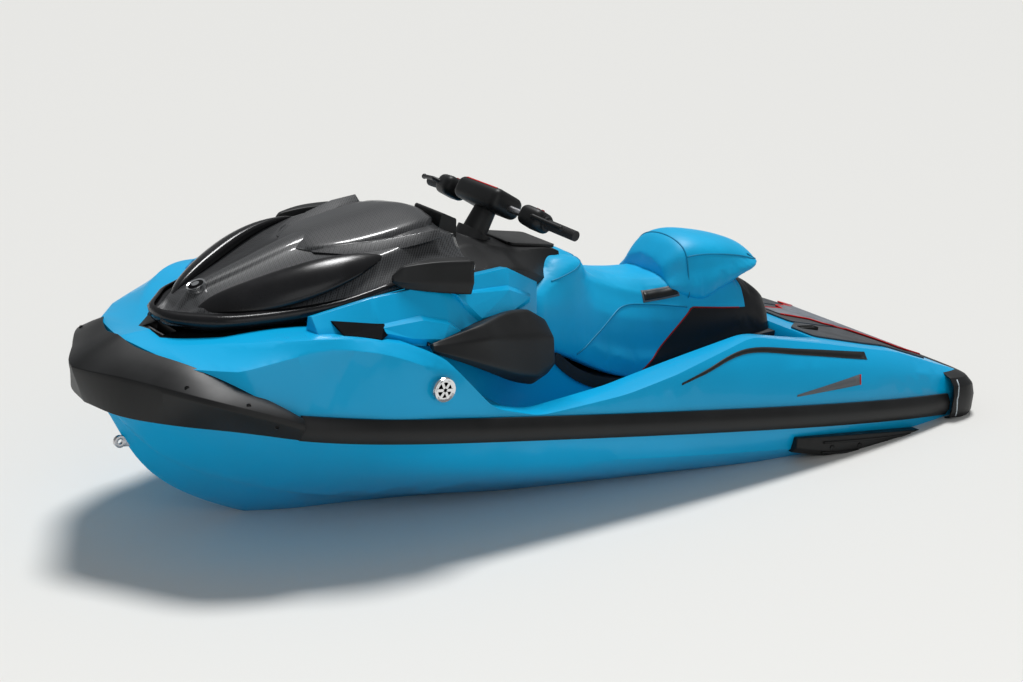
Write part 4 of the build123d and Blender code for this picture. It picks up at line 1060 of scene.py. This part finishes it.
class CRAFT_OT_bumper(Operator):
    """Skin the bow bumper with a crisp ridge and round the stern bumper"""
    bl_idname = "craft.bumper"
    bl_label = "Bumpers"

    def execute(self, context):
        mesh = bmesh.new()
        rows = []
        for ring in BOW_RINGS:
            line = curve_through([point(*place) for place in ring], 8)
            rows.append(both_sides(even_steps(line, 22)))
        middle = [a.lerp(b, 0.5) + Vector((0, 0, 0.004)) for a, b in zip(rows[-2], rows[-1])]
        skin(mesh, rows[:-1] + [middle, rows[-1]])
        bow = self.bumper("bow_bumper_skin", mesh, "bow_bumper")
        tree = tree_of(bow)
        radius = context.scene.craft_trim.screw
        for name, side in SIDES:
            mesh = bmesh.new()
            for s, y, z in ((3.120, 0.34, 0.53), (2.985, 0.45, 0.505), (2.905, 0.53, 0.455)):
                place = drop(tree, point(s, side * (y + 0.3), z + 0.05), (0, -side * 0.95, -0.15), 0.0)
                stud(mesh, place, (0.25, side * 0.9, 0.35), radius, 0.005)
            new_piece(f"bumper_screws_{name}", mesh, ("black",), smooth=False)
        mesh = bmesh.new()
        rows = []
        for inset, height in STERN_PROFILE:
            plan = []
            for s, y in STERN_PLAN:
                along = inset * max(0.0, 1 - s / STERN_REACH)
                across = inset * min(1.0, s / STERN_CORNER)
                plan.append(point(s + along, max(0.0, y - across), height))
            rows.append(both_sides(even_steps(curve_through(plan, 8), 22)))
        rows.append([Vector((station(STERN_REACH), p.y, 0.507)) for p in rows[-1]])
        skin(mesh, rows)
        stern = self.bumper("stern_bumper_skin", mesh, "stern_bumper")
        tree = tree_of(stern)
        for name, side in SIDES:
            line = [point(0.165 - 0.012 * abs(k - 5) / 5, side * 0.8, 0.366 + 0.0125 * k) for k in range(11)]
            laid = [drop(tree, place, (0, -side, 0), 0.0) for place in line]
            tube(f"stern_line_{name}", laid, 0.0025, "mark")
        return {"FINISHED"}

    def bumper(self, name, mesh, node):
        """Turn a skin into a bumper with a wall and softened ridges."""
        piece = new_piece(name, mesh, ("black",))
        thicken(piece, 0.006)
        bevel_edges(piece, 0.003, 3, 25.0)
        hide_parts(node)
        return piece


# Side pods and mirrors

# Columns: station, then half-breadth and height of the top edge, upper ridge, lower ridge and foot,
# and the inner half-breadth
POD_ROWS = [
    (2.400, 0.512, 0.690, 0.522, 0.683, 0.528, 0.672, 0.522, 0.662, 0.480),
    (2.190, 0.476, 0.738, 0.512, 0.698, 0.528, 0.622, 0.512, 0.598, 0.390),
    (2.050, 0.402, 0.758, 0.470, 0.690, 0.496, 0.575, 0.466, 0.540, 0.320),
    (1.960, 0.380, 0.752, 0.452, 0.690, 0.482, 0.565, 0.448, 0.526, 0.300),
    (1.880, 0.366, 0.715, 0.424, 0.672, 0.448, 0.590, 0.415, 0.548, 0.285),
    (1.848, 0.350, 0.680, 0.385, 0.650, 0.400, 0.605, 0.380, 0.575, 0.280),
]
# Columns: station, outer half-breadth, lower and upper height
MIRROR_ROWS = [(2.470, 0.373, 0.842, 0.862), (2.440, 0.388, 0.826, 0.892), (2.350, 0.415, 0.818, 0.914),
               (2.217, 0.436, 0.815, 0.920)]
MIRROR_INNER = 0.360


class CRAFT_OT_pods(Operator):
    """Shape the side pods and the mirror housings"""
    bl_idname = "craft.pods"
    bl_label = "Pods and mirrors"

    def execute(self, context):
        for name, side in SIDES:
            rings = []
            for s, top_y, top_z, up_y, up_z, low_y, low_z, foot_y, foot_z, inner in POD_ROWS:
                ring = ((inner, top_z - 0.02), (top_y, top_z), (up_y, up_z), (low_y, low_z),
                        (foot_y, foot_z), (inner, foot_z + 0.03))
                rings.append([point(s, side * y, z) for y, z in ring])
            self.shell(f"pod_shell_{name}", rings, f"side_pod_{name}")
            rings = []
            for s, outer, low, high in MIRROR_ROWS:
                ring = ((MIRROR_INNER, low), (outer - 0.006, low), (outer, (low * 2 + high) / 3),
                        (outer - 0.012, high), (MIRROR_INNER, high))
                rings.append([point(s, side * y, z) for y, z in ring])
            self.shell(f"mirror_shell_{name}", rings, f"mirror_housing_{name}")
        return {"FINISHED"}

    def shell(self, name, rings, node):
        mesh = bmesh.new()
        skin(mesh, rings, closed=True, caps=True)
        piece = new_piece(name, mesh, ("black",))
        crisp(piece, 16.0, 0.72, 3)
        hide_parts(node)


# Deck graphics, mats and fixings

# Middle line of the gunwale stripe. Columns: station, height
GUNWALE_STRIPE = ((1.47, 0.548), (1.36, 0.582), (1.167, 0.632), (0.914, 0.618), (0.60, 0.590))
# Slot under the shoulder. Columns: station, half-breadth, height
INLET_SLOT = ((2.690, 0.392, 0.735), (2.53, 0.437, 0.734), (2.513, 0.455, 0.712), (2.575, 0.500, 0.700),
              (2.678, 0.456, 0.706))
# Raised panels of the side cover. Columns: station, height
COVER_PANEL = ((2.270, 0.845), (2.020, 0.858), (1.905, 0.826), (1.905, 0.800), (2.000, 0.770),
               (2.166, 0.752), (2.215, 0.790))
COVER_BLOCK = ((2.640, 0.742), (2.560, 0.778), (2.402, 0.806), (2.310, 0.790), (2.238, 0.744),
               (2.340, 0.712), (2.505, 0.722))


class TrimSizes(PropertyGroup):
    stripe: FloatProperty(name="Stripe",
                          description="Width of the gunwale stripe", default=0.022, unit="LENGTH")
    line: FloatProperty(name="Line",
                        description="Width of the red edge lines", default=0.006, unit="LENGTH")
    screw: FloatProperty(name="Screw",
                         description="Radius of a bumper screw", default=0.0075, unit="LENGTH")


# Edge of the pale stern mat. Columns: station, half-breadth
PALE_MAT = ((0.600, 0.048), (0.480, 0.075), (0.465, 0.130), (0.290, 0.235), (0.275, 0.330), (0.185, 0.345))


class CRAFT_OT_trim(Operator):
    """Lay the plain stripes, the stern mat, the inlets, the cover panels and the sponsons' studs"""
    bl_idname = "craft.trim"
    bl_label = "Trim"

    def execute(self, context):
        sizes = context.scene.craft_trim
        deck = surface_of("deck")
        rear = surface_of("deck", "rear_deck_mats")
        mesh = bmesh.new()
        rows = []
        mat_edge = []
        for (s, y), (next_s, next_y) in zip(PALE_MAT, PALE_MAT[1:]):
            mat_edge += [(s + (next_s - s) * k / 4, y + (next_y - y) * k / 4) for k in range(4)]
        for share in (-1.0, -0.5, 0.0, 0.5, 1.0):
            rows.append([top_of(rear, point(s, share * y, 1.2), 0.016, 0.0025) for s, y in mat_edge])
        skin(mesh, rows)
        thicken(new_piece("stern_mat", mesh, ("pale_mat",)), 0.003)
        for name, side in SIDES:
            inward = (0, -side, 0)
            line = curve_through([point(s, side * 0.8, z) for s, z in GUNWALE_STRIPE], 10)
            taper = (sizes.stripe * 0.3, sizes.stripe)
            ribbon(f"gunwale_stripe_{name}", deck, line, (0, 0, 1), inward, taper, "black")
            decal = [point(0.96 - 0.30 * k / 12, side * 0.8, 0.486 + 0.036 * k / 12) for k in range(13)]
            ribbon(f"flank_patch_{name}", deck, decal, (0, 0, 1), inward, (0.006, 0.034), "grey_patch")
            edge = [decal[-1] + Vector((-0.004, 0, -0.017 + 0.0034 * k)) for k in range(11)]
            ribbon(f"flank_line_{name}", deck, edge, (1, 0, 0), inward, sizes.line, "red")
            edge = even_steps([point(s, side * y, 1.2) for s, y in PALE_MAT], 60)
            laid = [top_of(rear, place, 0.012, 0.002) for place in edge]
            tube(f"mat_line_{name}", laid, sizes.line / 2, "red")
            self.inlet(name, side)
            self.small_plates(name, side)
        return {"FINISHED"}

    def small_plates(self, name, side):
        """The sponson's ribs and studs, and the cargo anchor."""
        inward = (0, -side, 0)
        sponson = surface_of(f"sponson_{name}")
        mesh = bmesh.new()
        for k in range(5):
            place = drop(sponson, point(0.26 + 0.13 * k, side * 0.9, 0.302), inward, -0.001)
            stud(mesh, place, (0, side, 0), 0.011, 0.006)
        new_piece(f"sponson_studs_{name}", mesh, ("black",), smooth=False)
        for k, z in enumerate((0.284, 0.320)):
            line = [point(0.22 + 0.05 * j, side * 0.9, z + 0.002 * j / 12) for j in range(13)]
            ribbon(f"sponson_rib_{k}_{name}", sponson, line, (0, 0, 1), inward, 0.007, "black",
                   lift=0.002, depth=0.006)
        rear = surface_of("deck", "rear_deck_mats")
        mesh = bmesh.new()
        place = drop(rear, point(0.66, side * 0.26, 1.2), (0, 0, -1), 0.002)
        shape = Matrix.Translation(place) @ Matrix.Diagonal((0.075, 0.03, 0.012, 1))
        bmesh.ops.create_cube(mesh, size=1.0, matrix=shape)
        top = max(mesh.faces, key=lambda face: face.calc_center_median().z)
        bmesh.ops.inset_individual(mesh, faces=[top], thickness=0.006)
        bmesh.ops.translate(mesh, vec=(0, 0, -0.006), verts=top.verts[:])
        anchor = new_piece(f"cargo_anchor_{name}", mesh, ("black",), smooth=False)
        bevel_edges(anchor, 0.002, 2)

    def inlet(self, name, side):
        """The slot under the shoulder, as a near-black plate of painted shade, and the cover's raised
        panels.
        """
        around = surface_of("deck", f"side_cover_{name}")
        way = (0, -0.8 * side, -0.6)
        slot = [point(s, side * y, z) for s, y, z in INLET_SLOT]
        # Near-black plate over the slot: painted shade of its depth
        plate(f"inlet_{name}", around, slot, way, 0.002, 0.004, "recess")
        cover = surface_of(f"side_cover_{name}")
        panel = [point(s, side * 0.6, z) for s, z in COVER_PANEL]
        plate(f"cover_panel_{name}", cover, panel, (0, -side, -0.15), 0.012, 0.014, "blue")
        block = [point(s, side * 0.6, z) for s, z in COVER_BLOCK]
        plate(f"cover_block_{name}", cover, block, (0, -side, -0.3), 0.016, 0.016, "blue")


class CRAFT_OT_cap(Operator):
    """Face the filler cap with a ring and spokes"""
    bl_idname = "craft.cap"
    bl_label = "Filler cap"

    def execute(self, context):
        low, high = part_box("fuel_cap")
        side = 1 if high.y > 0 else -1
        facing = Vector((0, side, 0))
        face = Vector(((low.x + high.x) / 2, high.y if side > 0 else low.y, (low.z + high.z) / 2))
        radius = (high.z - low.z) / 2 * 1.15
        mesh = bmesh.new()
        bmesh.ops.create_cone(mesh, cap_ends=True, segments=40, radius1=radius, radius2=radius * 0.93,
                              depth=0.006, matrix=disc_matrix(face, facing))
        top = max(mesh.faces, key=lambda item: item.calc_center_median().dot(facing))
        bmesh.ops.inset_individual(mesh, faces=[top], thickness=radius * 0.2)
        bmesh.ops.translate(mesh, vec=-facing * 0.003, verts=top.verts[:])
        ring = new_piece("cap_ring", mesh, ("chrome", "recess"), smooth=False)
        # The sunk inner face takes the near-black finish: painted shade
        inner = max(ring.data.polygons, key=lambda item: item.area if abs(item.normal.y) > 0.9 else 0.0)
        inner.material_index = 1
        mesh = bmesh.new()
        for k in range(3):
            turn = disc_matrix(face + facing * 0.001, facing) @ Matrix.Rotation(math.pi * k / 3, 4, "Z")
            spoke = Matrix.Diagonal((radius * 1.5, radius * 0.22, 0.003, 1))
            bmesh.ops.create_cube(mesh, size=1.0, matrix=turn @ spoke)
        new_piece("cap_spokes", mesh, ("chrome",), smooth=False)
        return {"FINISHED"}


class CRAFT_OT_helm(Operator):
    """Round the bar pad and switch pods, and add the buttons and the gauge's plain marks"""
    bl_idname = "craft.helm"
    bl_label = "Helm"

    def execute(self, context):
        rake = Matrix.Rotation(math.radians(-24), 4, "Y")
        low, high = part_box("bar_pad")
        mesh = bmesh.new()
        rounded_box(mesh, (low + high) / 2, rake, (0.126, 0.232, 0.074), 0.026)
        pad = self.helm_piece("bar_pad_cover", mesh, "bar_pad")
        line = [point(1.925, 0.085 - 0.17 * k / 12, 1.3) for k in range(13)]
        tree = tree_of(pad)
        ribbon("bar_pad_line", tree, line, (1, 0, 0), (0, 0, -1), 0.007, "red", body="steering")
        low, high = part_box("switch_pods")
        mesh = bmesh.new()
        for side in (1, -1):
            place = Vector(((low.x + high.x) / 2, side * (high.y - 0.042), (low.z + high.z) / 2))
            turn = rake @ Matrix.Rotation(side * 0.22, 4, "Z")
            rounded_box(mesh, place, turn, (0.092, 0.092, 0.066), 0.024)
        pods = self.helm_piece("switch_pod_covers", mesh, "switch_pods")
        tree = tree_of(pods)
        mesh = bmesh.new()
        for side in (1, -1):
            for shift, radius in ((-0.022, 0.007), (0.004, 0.006)):
                place = Vector(((low.x + high.x) / 2 - 0.014, side * (high.y - 0.03 + shift), 1.3))
                laid = drop(tree, place, (0, 0, -1))
                bmesh.ops.create_cone(mesh, cap_ends=True, segments=20, radius1=radius,
                                      radius2=radius * 0.85, depth=0.006,
                                      matrix=disc_matrix(laid, (-0.4, 0, 0.92)))
        new_piece("switch_buttons", mesh, ("red",), "steering", smooth=False)
        low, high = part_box("gauge_screen")
        mesh = bmesh.new()
        facing = Vector((-0.985, 0, 0.17))
        middle = (low + high) / 2 + facing * 0.0035
        up = Vector((0.17, 0, 0.985))
        for k in range(9):
            place = middle + Vector((0, -0.044 + 0.011 * k, 0)) - up * 0.012
            height = 0.006 + 0.0012 * k
            turn = disc_matrix(place + up * height / 2, facing)
            bmesh.ops.create_cube(mesh, size=1.0, matrix=turn @ Matrix.Diagonal((0.007, height, 0.001, 1)))
        new_piece("gauge_marks", mesh, ("mark",), smooth=False)
        return {"FINISHED"}

    def helm_piece(self, name, mesh, node):
        """A moulded cover on the handlebar, in place of a plain node."""
        piece = new_piece(name, mesh, ("black",), "steering")
        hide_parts(node)
        return piece


# Stage

SKY_COLOR = (0.93, 0.95, 0.97, 1)
SKY_STRENGTH = 0.24
SUN_SOURCE = (-0.15, -0.30, 1.0)
SUN_ANGLE = 16.0
SUN_POWER = 2.8
FILL_PLACE = (3.0, 6.5, 3.5)
FILL_AIM = (0.2, 0, 0.4)
FILL_SIZE = 5.0
FILL_POWER = 70
FLOOR_SIZE = 60.0


class StageSettings(PropertyGroup):
    camera_turn: FloatProperty(name="Camera turn",
                               description="Camera's turn from abeam to port towards the bow",
                               default=math.radians(36.9), subtype="ANGLE")
    camera_rise: FloatProperty(name="Camera rise", description="Camera's angle above level",
                               default=math.radians(13.02), subtype="ANGLE")
    camera_roll: FloatProperty(name="Camera roll",
                               description="Camera's roll, from the craft's bow-up trim",
                               default=math.radians(7.6), subtype="ANGLE")
    waterline: FloatProperty(name="Waterline",
                             description="Height of the water above the keel amidships", default=0.155,
                             unit="LENGTH")
    camera_distance: FloatProperty(name="Camera distance",
                                   description="Camera to target", default=8.602, unit="LENGTH")
    camera_lens: FloatProperty(name="Lens", description="Focal length on a 36 mm sensor", default=91.78,
                               unit="CAMERA")
    target: FloatVectorProperty(name="Target", description="Point in the middle of the picture",
                                default=(0.065, 0.0, 0.541), subtype="TRANSLATION")
    floor_color: FloatVectorProperty(name="Floor", description="Pale floor", default=(0.76, 0.755, 0.73),
                                     subtype="COLOR")


def area_light(name, place, aim, size, power):
    """A soft square light aimed at a point."""
    lamp = bpy.data.lights.new(name, "AREA")
    lamp.size = size
    lamp.energy = power
    holder = bpy.data.objects.new(name, lamp)
    holder.location = place
    holder.rotation_euler = (Vector(aim) - Vector(place)).to_track_quat("-Z", "Y").to_euler()
    bpy.context.scene.collection.objects.link(holder)


def sun_light(name, source, angle, power):
    """A soft far light from a direction."""
    lamp = bpy.data.lights.new(name, "SUN")
    lamp.angle = math.radians(angle)
    lamp.energy = power
    holder = bpy.data.objects.new(name, lamp)
    holder.rotation_euler = (-Vector(source)).to_track_quat("-Z", "Y").to_euler()
    bpy.context.scene.collection.objects.link(holder)


class CRAFT_OT_stage(Operator):
    """Lay the floor at the waterline, set the light and place the camera"""
    bl_idname = "craft.stage"
    bl_label = "Stage"

    def execute(self, context):
        settings = context.scene.craft_stage
        mesh = bmesh.new()
        tilt = Matrix.Rotation(settings.camera_roll, 4, "Y")
        surface = Matrix.Translation((0, 0, settings.waterline)) @ tilt
        bmesh.ops.create_grid(mesh, x_segments=1, y_segments=1, size=FLOOR_SIZE, matrix=surface)
        data = bpy.data.meshes.new("floor")
        mesh.to_mesh(data)
        mesh.free()
        floor = bpy.data.objects.new("floor", data)
        context.scene.collection.objects.link(floor)
        material = new_finish("pale_floor", tuple(settings.floor_color), 0.75)
        data.materials.append(material)
        world = bpy.data.worlds.new("studio")
        world.use_nodes = True
        backdrop = world.node_tree.nodes["Background"]
        backdrop.inputs["Color"].default_value = SKY_COLOR
        backdrop.inputs["Strength"].default_value = SKY_STRENGTH
        context.scene.world = world
        sun_light("sun", SUN_SOURCE, SUN_ANGLE, SUN_POWER)
        area_light("fill", FILL_PLACE, FILL_AIM, FILL_SIZE, FILL_POWER)
        turn, rise, roll = settings.camera_turn, settings.camera_rise, settings.camera_roll
        back = Vector((math.sin(turn) * math.cos(rise), math.cos(turn) * math.cos(rise), math.sin(rise)))
        right = Vector((0, 0, 1)).cross(back).normalized()
        up = back.cross(right)
        rolled_right = right * math.cos(roll) + up * math.sin(roll)
        rolled_up = up * math.cos(roll) - right * math.sin(roll)
        camera = bpy.data.objects.new("camera", bpy.data.cameras.new("camera"))
        camera.data.lens = settings.camera_lens
        camera.data.sensor_width = 36.0
        turned = Matrix((rolled_right, rolled_up, back)).transposed().to_4x4()
        place = Vector(settings.target) + back * settings.camera_distance
        camera.matrix_world = Matrix.Translation(place) @ turned
        context.scene.collection.objects.link(camera)
        context.scene.camera = camera
        context.scene.view_settings.view_transform = "Standard"
        return {"FINISHED"}


class CRAFT_PT_panel(Panel):
    """Sidebar list of the steps"""
    bl_label = "Watercraft"
    bl_idname = "CRAFT_PT_panel"
    bl_space_type = "VIEW_3D"
    bl_region_type = "UI"
    bl_category = "Watercraft"

    def draw(self, context):
        for step in STEPS:
            self.layout.operator(f"craft.{step}")


STEPS = ("finishes", "hood", "saddle", "bolster", "bumper", "pods", "trim", "cap", "helm", "stage")
CLASSES = (
    HoodSizes, PadSizes, TrimSizes, StageSettings, CRAFT_OT_finishes, CRAFT_OT_hood, CRAFT_OT_saddle,
    CRAFT_OT_bolster, CRAFT_OT_bumper, CRAFT_OT_pods, CRAFT_OT_trim, CRAFT_OT_cap, CRAFT_OT_helm,
    CRAFT_OT_stage, CRAFT_PT_panel,
)


def register():
    for cls in CLASSES:
        bpy.utils.register_class(cls)
    bpy.types.Scene.craft_hood = PointerProperty(type=HoodSizes)
    bpy.types.Scene.craft_pad = PointerProperty(type=PadSizes)
    bpy.types.Scene.craft_trim = PointerProperty(type=TrimSizes)
    bpy.types.Scene.craft_stage = PointerProperty(type=StageSettings)


def unregister():
    del bpy.types.Scene.craft_stage
    del bpy.types.Scene.craft_trim
    del bpy.types.Scene.craft_pad
    del bpy.types.Scene.craft_hood
    for cls in reversed(CLASSES):
        bpy.utils.unregister_class(cls)


def main():
    """Run each step in order."""
    register()
    bpy.ops.craft.finishes()
    bpy.ops.craft.hood()
    bpy.ops.craft.saddle()
    bpy.ops.craft.bolster()
    bpy.ops.craft.bumper()
    bpy.ops.craft.pods()
    bpy.ops.craft.trim()
    bpy.ops.craft.cap()
    bpy.ops.craft.helm()
    bpy.ops.craft.stage()


if __name__ == "__main__":
    main()
